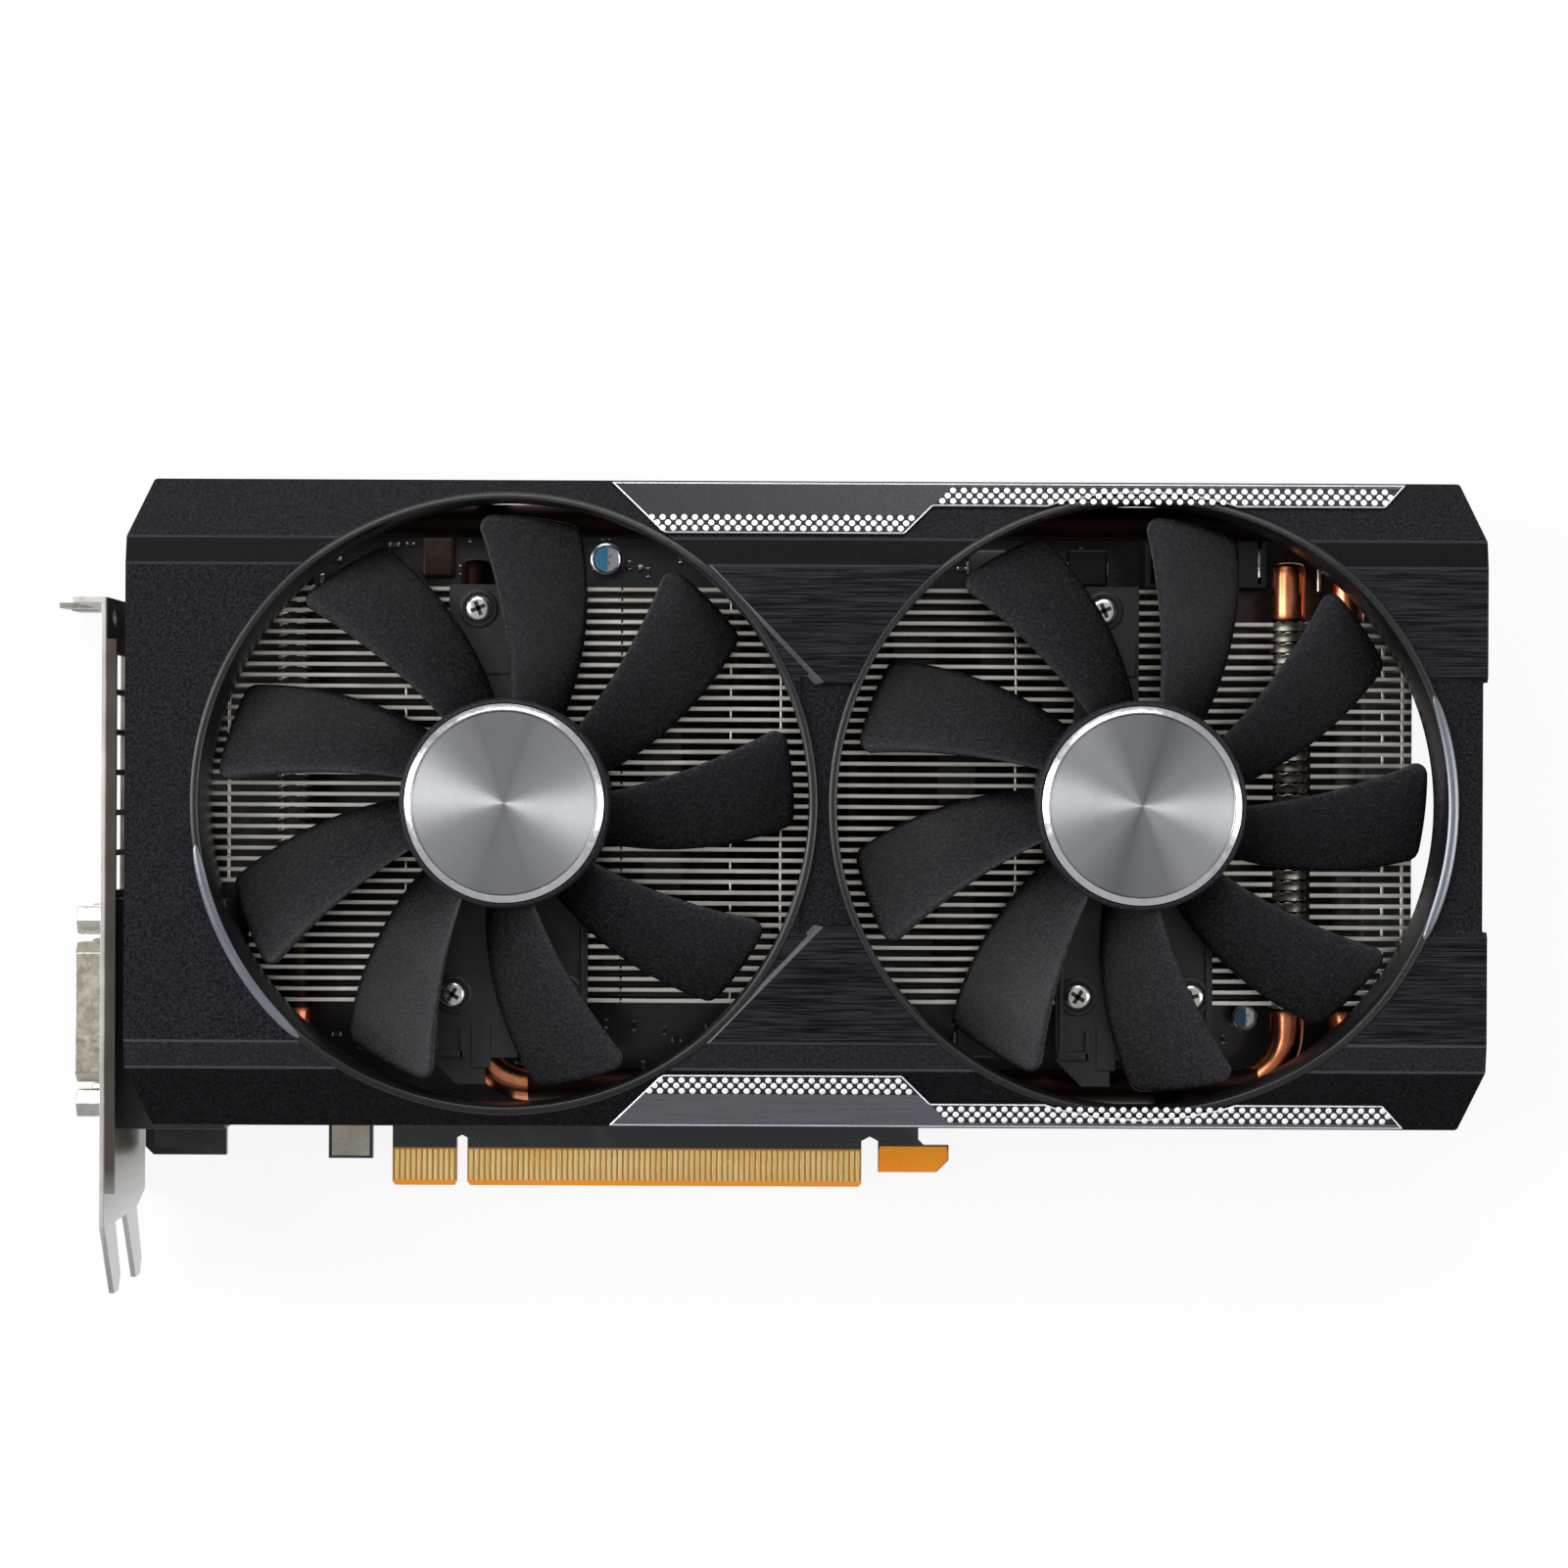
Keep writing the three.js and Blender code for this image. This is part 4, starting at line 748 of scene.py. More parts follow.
def places_tree():
    """A piece set on every point of the base, turned by the point's own angle."""
    shape = Shape("set_on_places", Piece="Object")
    piece = shape.node("GeometryNodeObjectInfo", None, {"Object": shape.given["Piece"]})["Geometry"]
    turn = shape.node("GeometryNodeInputNamedAttribute", {"data_type": "FLOAT_VECTOR"}, {"Name": "turn"})[0]
    sockets = {"Points": shape.given["Geometry"], "Instance": piece, "Rotation": turn}
    return shape.end(shape.node("GeometryNodeInstanceOnPoints", None, sockets)[0])


def route_tree():
    """A round rod of even thickness along the base's line of points."""
    shape = Shape("follow_a_route", Radius="Float", Sides="Int")
    given = shape.given
    curve = shape.node("GeometryNodeMeshToCurve", None, {"Mesh": given["Geometry"]})[0]
    sockets = {"Resolution": given["Sides"], "Radius": given["Radius"]}
    circle = shape.node("GeometryNodeCurvePrimitiveCircle", None, sockets)[0]
    sockets = {"Curve": curve, "Profile Curve": circle, "Fill Caps": True}
    return shape.end(shape.node("GeometryNodeCurveToMesh", None, sockets)[0])


def scatter_tree():
    """A piece strewn over the base's faces, from a fixed seed, square to the card."""
    shape = Shape("strew", Piece="Object", Apart="Float", Seed="Int", Smallest="Float")
    given = shape.given
    seed = given["Seed"]
    field = {"Mesh": given["Geometry"], "Distance Min": given["Apart"], "Density Max": 40000.0, "Seed": seed}
    poisson = {"distribute_method": "POISSON"}
    points = shape.node("GeometryNodeDistributePointsOnFaces", poisson, field)["Points"]
    quarters = shape.node("FunctionNodeRandomValue", {"data_type": "INT"}, {4: 0, 5: 3, "Seed": seed})[2]
    sockets = {2: given["Smallest"], 3: 1.0, "Seed": seed}
    size = shape.node("FunctionNodeRandomValue", {"data_type": "FLOAT"}, sockets)[1]
    piece = shape.node("GeometryNodeObjectInfo", None, {"Object": given["Piece"]})["Geometry"]
    rotation = shape.node("ShaderNodeCombineXYZ", None, {"Z": quarters * (TAU / 4)})[0]
    sockets = {"Points": points, "Instance": piece, "Rotation": rotation, "Scale": size}
    return shape.end(shape.node("GeometryNodeInstanceOnPoints", None, sockets)[0])


round_axis, in_row, on_places, on_route, strewn = (
    ring_tree(), row_tree(), places_tree(), route_tree(), scatter_tree()
)


def set_on(places, piece, name, finish, turns=None):
    """A piece set on each place in millimetres; the pattern piece is used up."""
    base = mesh_object(name, places, [])
    turns = turns or [(0, 0, 0)] * len(places)
    layer = base.data.attributes.new("turn", "FLOAT_VECTOR", "POINT")
    layer.data.foreach_set("vector", [angle for turn in turns for angle in turn])
    made = grow(on_places, base, name, finish, Piece=piece)
    discard(piece)
    return made


def rod_along(name, route, radius, sides, finish):
    """A round rod along a route in millimetres."""
    base = placed(name, bpy.data.meshes.new(name))
    base.data.from_pydata([Vector(p) * MM for p in route], [(i, i + 1) for i in range(len(route) - 1)], [])
    return smooth(outward(grow(on_route, base, name, finish, Radius=radius * MM, Sides=sides)), 40)


def bent(corners, radii, steps=8):
    """A route of straight runs with a round bend at each inner corner."""
    points = [Vector(c) for c in corners]
    route = [points[0]]
    for before, corner, after, radius in zip(points, points[1:], points[2:], radii):
        inward, away = (before - corner).normalized(), (after - corner).normalized()
        half = inward.angle(away) / 2
        centre = corner + (inward + away).normalized() * (radius / math.sin(half))
        start = corner + inward * (radius / math.tan(half)) - centre
        axis = away.cross(inward).normalized()
        sweep = math.pi - 2 * half
        route += [Matrix.Rotation(sweep * i / steps, 3, axis) @ start + centre for i in range(steps + 1)]
    return route + [points[-1]]


def fit(made, body, slot, *nodes):
    """Puts a finished piece on its body, in place of the frame's nodes."""
    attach(made, body)
    if nodes:
        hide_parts(*nodes)
    return made


# ------------------------------------------------------------------ camera, lamps and floor


def add_camera():
    """A camera over the card, looking straight down on its fans."""
    data = bpy.data.cameras.new("camera")
    data.sensor_width = 36.0
    data.lens = 81.03
    data.clip_start = 0.01
    camera = bpy.data.objects.new("camera", data)
    camera.location = (0.02136, 0.0729, 0.640)
    camera.rotation_euler = (0, 0, math.radians(0.26))
    bpy.context.scene.collection.objects.link(camera)
    bpy.context.scene.camera = camera


def add_lamp(name, place, size, power):
    """A softbox turned towards the middle of the card; its place and size are in metres."""
    data = bpy.data.lights.new(name, "AREA")
    data.shape = "RECTANGLE"
    data.size, data.size_y = size
    data.energy = power
    lamp = bpy.data.objects.new(name, data)
    lamp.location = place
    away = Vector(place) - Vector((0.02, 0.07, 0.02))
    lamp.rotation_euler = away.to_track_quat("Z", "Y").to_euler()
    bpy.context.scene.collection.objects.link(lamp)


def add_world():
    """White where the camera and the clear parts look at it, dimmer as a light on the card."""
    world = bpy.data.worlds.new("studio")
    world.use_nodes = True
    sky = Graph(world.node_tree)
    sky.tree.nodes.clear()
    dim = sky.node("ShaderNodeBackground", None, {"Color": (0.93, 0.95, 1.0, 1.0), "Strength": 0.36})[0]
    white = sky.node("ShaderNodeBackground", None, {"Color": (1.0, 1.0, 1.0, 1.0), "Strength": 1.0})[0]
    rays = sky.node("ShaderNodeLightPath")
    seen = sky.math("MAXIMUM", rays["Is Camera Ray"], rays["Is Transmission Ray"])
    seen = sky.math("MAXIMUM", seen, rays["Is Glossy Ray"] * 0.2)
    both = sky.node("ShaderNodeMixShader", None, {0: seen, 1: dim, 2: white})[0]
    output = sky.tree.nodes.new("ShaderNodeOutputWorld")
    sky.tree.links.new(both.socket, output.inputs["Surface"])
    bpy.context.scene.world = world


def pale_floor():
    """Pale floor that shows white to the camera and in reflections, and keeps a faint shadow."""
    material = bpy.data.materials.new("pale_floor")
    material.use_nodes = True
    paper = Graph(material.node_tree)
    paper.tree.nodes.clear()
    matt = paper.node("ShaderNodeBsdfDiffuse", None, {"Color": (0.82, 0.82, 0.82, 1.0)})[0]
    white = paper.node("ShaderNodeEmission", None, {"Color": (1.0, 1.0, 1.0, 1.0), "Strength": 1.0})[0]
    rays = paper.node("ShaderNodeLightPath")
    seen = paper.math("MAXIMUM", rays["Is Camera Ray"], rays["Is Glossy Ray"])
    seen = paper.math("MAXIMUM", seen, rays["Is Transmission Ray"])
    both = paper.node("ShaderNodeMixShader", None, {0: seen * 0.9, 1: matt, 2: white})[0]
    output = paper.tree.nodes.new("ShaderNodeOutputMaterial")
    paper.tree.links.new(both.socket, output.inputs["Surface"])
    return material


def add_floor():
    """A wide floor just under the card."""
    level = frame_box[0].z / MM - 0.4
    span = (-9000, 9000)
    floor = mesh_object("floor", [(x, y, level) for x, y in rectangle(span, span)], [(0, 1, 2, 3)])
    floor.data.materials.append(pale_floor())


bpy.context.scene.view_settings.view_transform = "Standard"
add_camera()
add_world()
add_floor()
for name, place, size, power in (
    ("left_softbox", (-0.95, 0.20, 0.62), (0.5, 1.1), 13.0),
    ("right_softbox", (1.05, 0.02, 0.60), (0.4, 1.0), 6.0),
    ("upper_softbox", (-0.10, 0.95, 0.90), (1.0, 0.4), 8.0),
):
    add_lamp(name, place, size, power)


# ------------------------------------------------------------------ shroud

BEVEL_DROP = 1.0
HALF_WIDTH = (cover_high.y - cover_low.y) / 2
WALL = 2.0
CORNER_RUN, CORNER_RISE = 4.3, 10.2
WINDOW_LENGTH, WINDOW_PITCH = 18, 24
WINDOW_SILL, WINDOW_HEAD = 3, 22  # above the skirt's foot; above the frame's origin
FIRST_WINDOW, LAST_WINDOW = 16.3, 34.2  # in from the cover's two ends


def softened(outline, radius, steps=5):
    """A closed outline with each corner rounded."""
    rounded_outline = []
    for i, corner in enumerate(outline):
        here = Vector(corner)
        before = (Vector(outline[i - 1]) - here).normalized()
        after = (Vector(outline[(i + 1) % len(outline)]) - here).normalized()
        half = before.angle(after) / 2
        reach = radius / math.tan(half)
        if reach < 1e-4:
            rounded_outline.append(tuple(here))
            continue
        for step in range(steps + 1):
            t = step / steps
            start, end = here + before * reach, here + after * reach
            rounded_outline.append(tuple((1 - t) ** 2 * start + 2 * t * (1 - t) * here + t * t * end))
    return rounded_outline


def face_height(y):
    """Height of the shroud's face: level, then a short slope, then the falling band along the edge."""
    off = abs(y - middle_y)
    if off <= PANEL_FAR:
        return front
    if off <= BAND_INNER:
        return front - BEVEL_DROP * (off - PANEL_FAR) / (BAND_INNER - PANEL_FAR)
    fall = BAND_OUTER_DROP - BEVEL_DROP
    return front - BEVEL_DROP - fall * (off - BAND_INNER) / (HALF_WIDTH - BAND_INNER)


def face_profile(inset, back):
    """The shroud's section in Y and Z, drawn in by an inset and open towards the board at the back."""
    marks = [HALF_WIDTH - inset, BAND_INNER - inset * 0.3, PANEL_FAR - inset * 0.3]
    drops = [BAND_OUTER_DROP, BEVEL_DROP, 0.0]
    rising = [(middle_y - off, front - drop - inset) for off, drop in zip(marks, drops)]
    falling = [(middle_y + off, front - drop - inset) for off, drop in reversed(list(zip(marks, drops)))]
    return [(middle_y - marks[0], back), *rising, *falling, (middle_y + marks[0], back)]


def plan_outline(inset):
    """The shroud seen from the front, with its four corners clipped, drawn in by an inset."""
    x0, x1 = cover_low.x + inset, cover_high.x - inset
    y0, y1 = cover_low.y + inset, cover_high.y - inset
    run, rise = CORNER_RUN, CORNER_RISE
    return [
        (x0 + run, y0), (x1 - run, y0), (x1, y0 + rise), (x1, y1 - rise),
        (x1 - run, y1), (x0 + run, y1), (x0, y1 - rise), (x0, y0 + rise),
    ]


def disc(x, radius, z0, z1):
    """A round tool that cuts a fan opening."""
    profile = [(0, z0), (radius, z0), (radius, z1), (0, z1)]
    return lathe("disc", profile, 160, (x, middle_y), "shroud_plastic")


def hollow(x, y, z):
    """A plain box to cut away."""
    return plate("hollow", rectangle(x, y), z[0], z[1], "shroud_plastic")


def window_outline(start):
    """One side window seen face on, with rounded corners."""
    return softened(rectangle((start, start + WINDOW_LENGTH), (cover_low.z + WINDOW_SILL, WINDOW_HEAD)), 1.0)


def vent_cutters():
    """Tools for the windows in the two long walls and the far wall, and for the power socket's gap."""
    vents = []
    power_low, power_high = place_of("power_connector")
    lower_wall = (cover_low.y - 1, cover_low.y + WALL + 0.5)
    upper_wall = (cover_high.y - WALL - 0.5, cover_high.y + 1)
    x = cover_low.x + FIRST_WINDOW
    while x <= cover_high.x - LAST_WINDOW:
        clear_of_socket = x + WINDOW_LENGTH < power_low.x - 3 or x > power_high.x + 3
        for wall in (lower_wall, upper_wall) if clear_of_socket else (lower_wall,):
            vents.append(along_y("window", window_outline(x), *wall, "shroud_plastic"))
        x += WINDOW_PITCH
    socket_gap = (power_low.x - 1.5, power_high.x + 1.5)
    vents.append(hollow(socket_gap, upper_wall, (cover_low.z - 1, power_high.z + 1.5)))
    far_wall = (cover_high.x - WALL - 0.5, cover_high.x + 1)
    for row in (-WINDOW_PITCH, 0, WINDOW_PITCH):
        outline = window_outline(middle_y + row - WINDOW_LENGTH / 2)
        vents.append(along_x("window", outline, *far_wall, "shroud_plastic"))
    return vents


def shroud_shell():
    """The moulded shell: a folded face, clipped corners, thin walls, two round openings and side vents."""
    skirt = cover_low.z
    span = (cover_low.x, cover_high.x)
    outside = along_x("shroud", softened(face_profile(0, skirt), 0.55), *span, "shroud_plastic")
    plan = plate("plan", softened(plan_outline(0), 0.9), skirt - 1, front + 2, "shroud_plastic")
    shell = carve(outside, plan, operation="INTERSECT")
    inside = along_x("inside", face_profile(WALL, skirt - 2), cover_low.x - 6, cover_high.x, "shroud_plastic")
    inner_plan = plate("inner_plan", plan_outline(WALL), skirt - 3, front, "shroud_plastic")
    inside = carve(inside, inner_plan, operation="INTERSECT")
    low_edge, high_edge = middle_y - PANEL_NEAR, middle_y + PANEL_NEAR
    recess = along_x("recess", [
        (low_edge - 1.6, front + 0.1), (low_edge, front - 0.8), (high_edge, front - 0.8),
        (high_edge + 1.6, front + 0.1), (high_edge, front + 3), (low_edge, front + 3),
    ], neck_x - 4, cover_high.x + 1, "shroud_plastic")
    waist = hollow(
        (cover_high.x - 0.7, cover_high.x + 1), (low_edge - 0.4, high_edge + 0.4), (skirt - 1, front + 1)
    )
    open_end = hollow(
        (cover_low.x - 1, cover_low.x + WALL + CORNER_RUN + 1),
        (cover_low.y + CORNER_RISE + WALL, cover_high.y - CORNER_RISE - WALL),
        (skirt - 1, front - WALL - 0.5),
    )
    socket = place_of("dvi_socket_body")[1]
    socket_room = hollow(
        (cover_low.x - 1, socket.x + 1.5), (cover_low.y - 1, socket.y + 1.5), (skirt - 1, socket.z + 0.5)
    )
    holes = [disc(fan_x[side], OPENING_RADIUS + 0.6, 0, front + 5) for side in SIDES]
    return carve(shell, inside, recess, waist, open_end, socket_room, *holes, *vent_cutters())


def neck_panel(side):
    """A raised brushed panel on the neck between the fans; its left edge is a narrow facet in lighter grey, a
    painted highlight.
    """
    near, far = PANEL_NEAR - 0.5, PANEL_FAR
    low = [(neck_x - 1.6, near), (neck_x - 20.6, far), (neck_x + 28, far), (neck_x + 6, near)]
    top = [(neck_x + 0.1, near + 0.4), (neck_x - 19.3, far), (neck_x + 28, far), (neck_x + 6, near + 0.4)]
    points = [(x, middle_y + side * off, front - 0.3) for x, off in low]
    points += [(x, middle_y + side * off, front + 0.4) for x, off in top]
    faces = [(3, 2, 1, 0), (4, 5, 6, 7)] + [(i, (i + 1) % 4, 4 + (i + 1) % 4, 4 + i) for i in range(4)]
    panel = outward(mesh_object("neck_panel", points, faces, "shroud_plastic"))
    panel.data.materials.append(finishes["worn_edge"])
    # painted highlight: the faces that turn to the left take the lighter grey
    for face in panel.data.polygons:
        if face.normal.x < -0.2:
            face.material_index = 1
    panel = rounded(panel, 0.15, 2)
    return carve(panel, *[disc(fan_x[name], OPENING_RADIUS + 1.3, front - 1, front + 1) for name in SIDES])


def opening_rim(x):
    """The rim round a fan opening: a deep inner wall and a rounded lip that follows the folded face."""
    sides = 192
    wall_foot = front - 13.9
    lip = [
        (0.0, None), (0.0, 0.0), (0.12, 0.2), (0.4, 0.34), (0.75, 0.38), (1.1, 0.34), (1.38, 0.2),
        (1.5, -0.1), (1.5, -2.2),
    ]
    points = []
    for i in range(sides):
        turn = TAU * i / sides
        for out, rise in lip:
            radius = OPENING_RADIUS + out
            y = middle_y + radius * math.sin(turn)
            height = wall_foot if rise is None else face_height(y) + rise
            points.append((x + radius * math.cos(turn), y, height))
    made = mesh_object("opening_rim", points, skin(sides, len(lip), ring=True, closed=True), "rim_gloss")
    return smooth(outward(made), 50)


def rim_flash(x, start, end):
    """A light grey strip set in the lip where it faces the outside of the card: a painted highlight in place
    of the lamps' reflection.
    """
    points = []
    steps = 60
    for i in range(steps + 1):
        t = i / steps
        turn = math.radians(start + (end - start) * t)
        half = 0.6 * math.sqrt(max(1 - abs(2 * t - 1) ** 6, 0.0)) + 0.02
        for out, rise in ((-half, 0.0), (-half * 0.5, 0.28), (half * 0.5, 0.28), (half, 0.0)):
            radius = OPENING_RADIUS + 0.9 + out
            y = middle_y + radius * math.sin(turn)
            points.append((x + radius * math.cos(turn), y, face_height(y) + rise))
    return smooth(thickened(mesh_object("rim_flash", points, skin(steps + 1, 4), "rim_flash"), 0.3), 60)


shell = rounded(shroud_shell(), 0.12, 2, 32)
panels = [neck_panel(side) for side in (-1, 1)]
rims = [opening_rim(fan_x[side]) for side in SIDES]
# painted highlights in the lips, where they face the outside of the card
painted_rim_highlights = [rim_flash(fan_x["left"], 188, 229), rim_flash(fan_x["right"], -25, 21)]
cover = merge("shroud_cover", shell, *panels, *rims, *painted_rim_highlights)
fit(cover, "root", "shroud_plastic", "shroud", "shroud_skirt", "duct_left", "duct_right")


# ------------------------------------------------------------------ grey trims and their printed dots

TRIM_RISE = 0.8
DOT_PITCH, DOT_RADIUS = 1.856, 0.54
DOT_ROWS, ROW_PITCH, FIRST_ROW = 3, 0.93, 0.95
# Each run of dots: distance of its edge from the middle line, its start and end in X, and its slant.
DOT_RUNS = ((TRIM_NEAR, 0.6, 41.8, -1), (TRIM_FAR, 46.7, 124.4, 1))
BAND_SLOPE = math.atan2(BAND_OUTER_DROP - BEVEL_DROP, HALF_WIDTH - BAND_INNER)


def dot_places(side):
    """Three staggered rows along the inner edge of each straight run of the trim."""
    places = []
    for edge, start, end, slant in DOT_RUNS:
        for row in range(DOT_ROWS):
            off = edge + FIRST_ROW + ROW_PITCH * row
            x = start + slant * (off - edge) + 0.7
            while x < end + (off - edge) * 0.9 - 0.7:
                y = middle_y + side * off
                places.append((x, y, face_height(y) + TRIM_RISE))
                x += DOT_PITCH
    return places


for node, side in (("trim_upper", 1), ("trim_lower", -1)):
    # the trims' rounded edges take a light grey as a painted highlight
    fit(rounded(copy_of(node, "trim_metal"), 0.28, 2, 25, "trim_edge"), "root", "trim_metal", node)
    profile = [(0, 0.05), (DOT_RADIUS - 0.06, 0.05), (DOT_RADIUS, 0.0), (0, 0.0)]
    dot = smooth(lathe("dot", profile, 14, (0, 0), "print_white"), 50)
    places = dot_places(side)
    turns = [(-side * BAND_SLOPE, 0.0, 0.0)] * len(places)
    fit(set_on(places, dot, f"dots_{node[5:]}", "print_white", turns), "root", "trim_metal")


# ------------------------------------------------------------------ fans

BLADE_COUNT = 9
ROOT_ANGLES = (57.0, 86.4)  # trailing and leading edge, at the hub
TIP_ANGLES = (74.7, 95.4)
BLADE_RISE, BLADE_CUP, BLADE_THICKNESS = 8.6, 0.9, 1.3
TIP_ROUNDING = 2.4


def eased(count):
    """Numbers from 0 to 1 that crowd together at both ends."""
    return [(1 - math.cos(math.pi * i / (count - 1))) / 2 for i in range(count)]


def blade_section(along, across, upper):
    """A point on one face of a blade: along from hub to tip, across from trailing to leading edge."""
    root = HUB_RADIUS - 0.8
    spread = [inner + (outer - inner) * along for inner, outer in zip(ROOT_ANGLES, TIP_ANGLES)]
    reach = root + (TIP_RADIUS - root) * along
    chord = math.radians(spread[1] - spread[0]) * reach
    to_edge = min(across, 1 - across) * chord
    corner = max(TIP_ROUNDING - to_edge, 0.0)
    tip = TIP_RADIUS - (TIP_ROUNDING - math.sqrt(max(TIP_ROUNDING**2 - corner**2, 0.0)))
    radius = root + (tip - root) * along
    to_tip = tip - radius
    edge = 1 - (1 - min(to_edge / 0.9, 1.0)) ** 2
    end = 1 - (1 - min(to_tip / 0.7, 1.0)) ** 2
    thickness = BLADE_THICKNESS * math.sqrt(edge * end)
    angle = math.radians(spread[0] + (spread[1] - spread[0]) * across)
    base = hub_back + 1.3 + BLADE_RISE * across - BLADE_CUP * math.sin(math.pi * across)
    height = base + BLADE_THICKNESS / 2 + (thickness / 2 if upper else -thickness / 2)
    return radius * math.cos(angle), radius * math.sin(angle), height


def blade(x):
    """One closed blade: an upper and a lower skin that meet along the edges and the tip."""
    rows, columns = 22, 19
    alongs = [math.sin(math.pi / 2 * i / (rows - 1)) for i in range(rows)]
    points, faces = [], []
    for upper in (True, False):
        for along in alongs:
            for across in eased(columns):
                px, py, pz = blade_section(along, across, upper)
                points.append((x + px, middle_y + py, pz))
    for sheet in (0, rows * columns):
        for i in range(rows - 1):
            for j in range(columns - 1):
                a = sheet + i * columns + j
                faces.append((a, a + 1, a + columns + 1, a + columns))
    root = [(j, j + 1, rows * columns + j + 1, rows * columns + j) for j in range(columns - 1)]
    return outward(mesh_object("blade", points, faces + root, "fan_plastic"))


def hub(x):
    """The hub's cup, with a rounded shoulder and a seat for the cap."""
    top = cap_low.z
    profile = [
        (HUB_RADIUS - 1.6, hub_back), (HUB_RADIUS - 0.2, hub_back), (HUB_RADIUS, hub_back + 0.25),
        (HUB_RADIUS, top - 1.1), (HUB_RADIUS - 0.08, top - 0.6), (HUB_RADIUS - 0.3, top - 0.2),
        (HUB_RADIUS - 0.62, top), (HUB_RADIUS - 0.85, top), (HUB_RADIUS - 0.95, top - 0.25),
        (0, top - 0.25), (0, top - 1.6), (HUB_RADIUS - 1.6, top - 1.6),
    ]
    return smooth(lathe("hub", profile, 128, (x, middle_y), "fan_plastic", closed=True), 35)


def hub_cap(side):
    """A spun disc with a polished slanted edge."""
    edge = 17.05
    # Distance in from the edge and depth below the face, from the rim of the flat disc outward.
    steps = [(1.45, 0.14), (1.36, 0.26), (1.26, 0.14), (1.16, 0.02), (0.95, 0), (0.3, 0.32), (0, 0.55)]
    profile = [(0, front - 0.14), *[(edge - inward, front - drop) for inward, drop in steps]]
    profile += [(edge, cap_low.z + 0.02), (0, cap_low.z + 0.02)]
    made = smooth(lathe(f"cap_{side}", profile, 160, (fan_x[side], middle_y), "cap_aluminium"), 18)
    made.data.materials.append(finishes["cap_edge"])
    for face in made.data.polygons:
        away = math.hypot(face.center.x / MM - fan_x[side], face.center.y / MM - middle_y)
        face.material_index = 1 if away > edge - 1.2 else 0
    return made


for side in SIDES:
    x = fan_x[side]
    blades = grow(
        round_axis, blade(x), "blades", "fan_plastic",
        Count=BLADE_COUNT,
        Centre=Vector((x, middle_y, 0)) * MM,
        Phase=math.radians(FAN_PHASE[side]),
    )
    fit(merge(f"fan_{side}_rotor", hub(x), smooth(blades, 60)), f"fan_{side}", "fan_plastic", f"rotor_{side}")
    fit(hub_cap(side), f"fan_{side}", "cap_aluminium", f"hub_cap_{side}")


# ------------------------------------------------------------------ motor carriers, their screws and leads

CARRIER_TOP = place_of("fan_screw_left_1")[1].z - 1.1
CARRIER_SCREWS = ((-5.6, 34.0), (-9.9, -33.5), (9.9, -33.5))
# Raised details on a carrier: name, X and Y from the fan's middle, height above the carrier's top.
CARRIER_DETAILS = (
    ("pad", (-10.2, 0.1), (22.5, 28.0), 0.35),
    ("rib", (-13.2, -12.4), (-44, -18), 0.5),
    ("rib", (12.4, 13.2), (-44, -18), 0.5),
    ("hook", (-13.4, -7.9), (-44.6, -43.2), 0.6),
    ("hook", (-8.6, -7.6), (-44.6, -39.5), 0.6),
    ("tongue", (-6.6, -3.2), (-46.4, -38.6), 0.3),
)
SCREW_TURNS = [(0, 0, 0.4), (0, 0, 1.0), (0, 0, 0.3)]


def screw_head(radius, height):
    """A pan head with a cross recess, standing on the plane z = 0."""
    shares = [(0, 1), (0.4, 0.99), (0.62, 0.95), (0.78, 0.87), (0.9, 0.73), (0.97, 0.52), (1, 0.3), (0.97, 0)]
    rim = [(radius * out, height * up) for out, up in shares]
    head = lathe("head", [*rim, (0, 0)], 32, (0, 0), "screw_steel")
    arm, slot = (-radius * 0.56, radius * 0.56), (-radius * 0.15, radius * 0.15)
    cutters = [
        plate("slot", rectangle(*spans), height * 0.3, height + 1, "screw_shadow")
        for spans in ((slot, arm), (arm, slot))
    ]
    return smooth(carve(head, *cutters), 35)


def cross_floor(radius, height):
    """The dark floor of a cross recess, coloured as painted shadow."""
    arm, slot = (-radius * 0.55, radius * 0.55), (-radius * 0.16, radius * 0.16)
    depth = (height * 0.3, height * 0.86)
    bars = [block("bar", *spans, depth, "screw_shadow", 0.02, 1) for spans in ((arm, slot), (slot, arm))]
    return merge("cross", *bars)


def screws(name, places, radius, height, turns, hanging=False):
    """Screw heads with recesses darkened by painted shadow, standing on their places or hanging from them."""
    head, cross = screw_head(radius, height), cross_floor(radius, height)
    if hanging:
        flipped(head)
        flipped(cross)
    heads = smooth(set_on(places, head, "heads", "screw_steel", turns), 35)
    return merge(name, heads, set_on(places, cross, "crosses", "screw_shadow", turns))


def carrier_details(side):
    """Raised pads, a cable hook, stiffening ribs and screw seats on a motor carrier."""
    x, top = fan_x[side], CARRIER_TOP
    parts = []
    for name, xs, ys, rise in CARRIER_DETAILS:
        spans = (x + xs[0], x + xs[1]), (middle_y + ys[0], middle_y + ys[1]), (top - 0.2, top + rise)
        parts.append(block(name, *spans, "carrier_plastic"))
    ring = [(2.6, -0.1), (3.4, -0.1), (3.4, 0.25), (3.15, 0.4), (2.75, 0.4), (2.6, 0.25)]
    ring = [(radius, top + rise) for radius, rise in ring]
    for dx, dy in CARRIER_SCREWS:
        place = (x + dx, middle_y + dy)
        parts.append(smooth(lathe("seat", ring, 40, place, "carrier_plastic", closed=True), 40))
    return parts


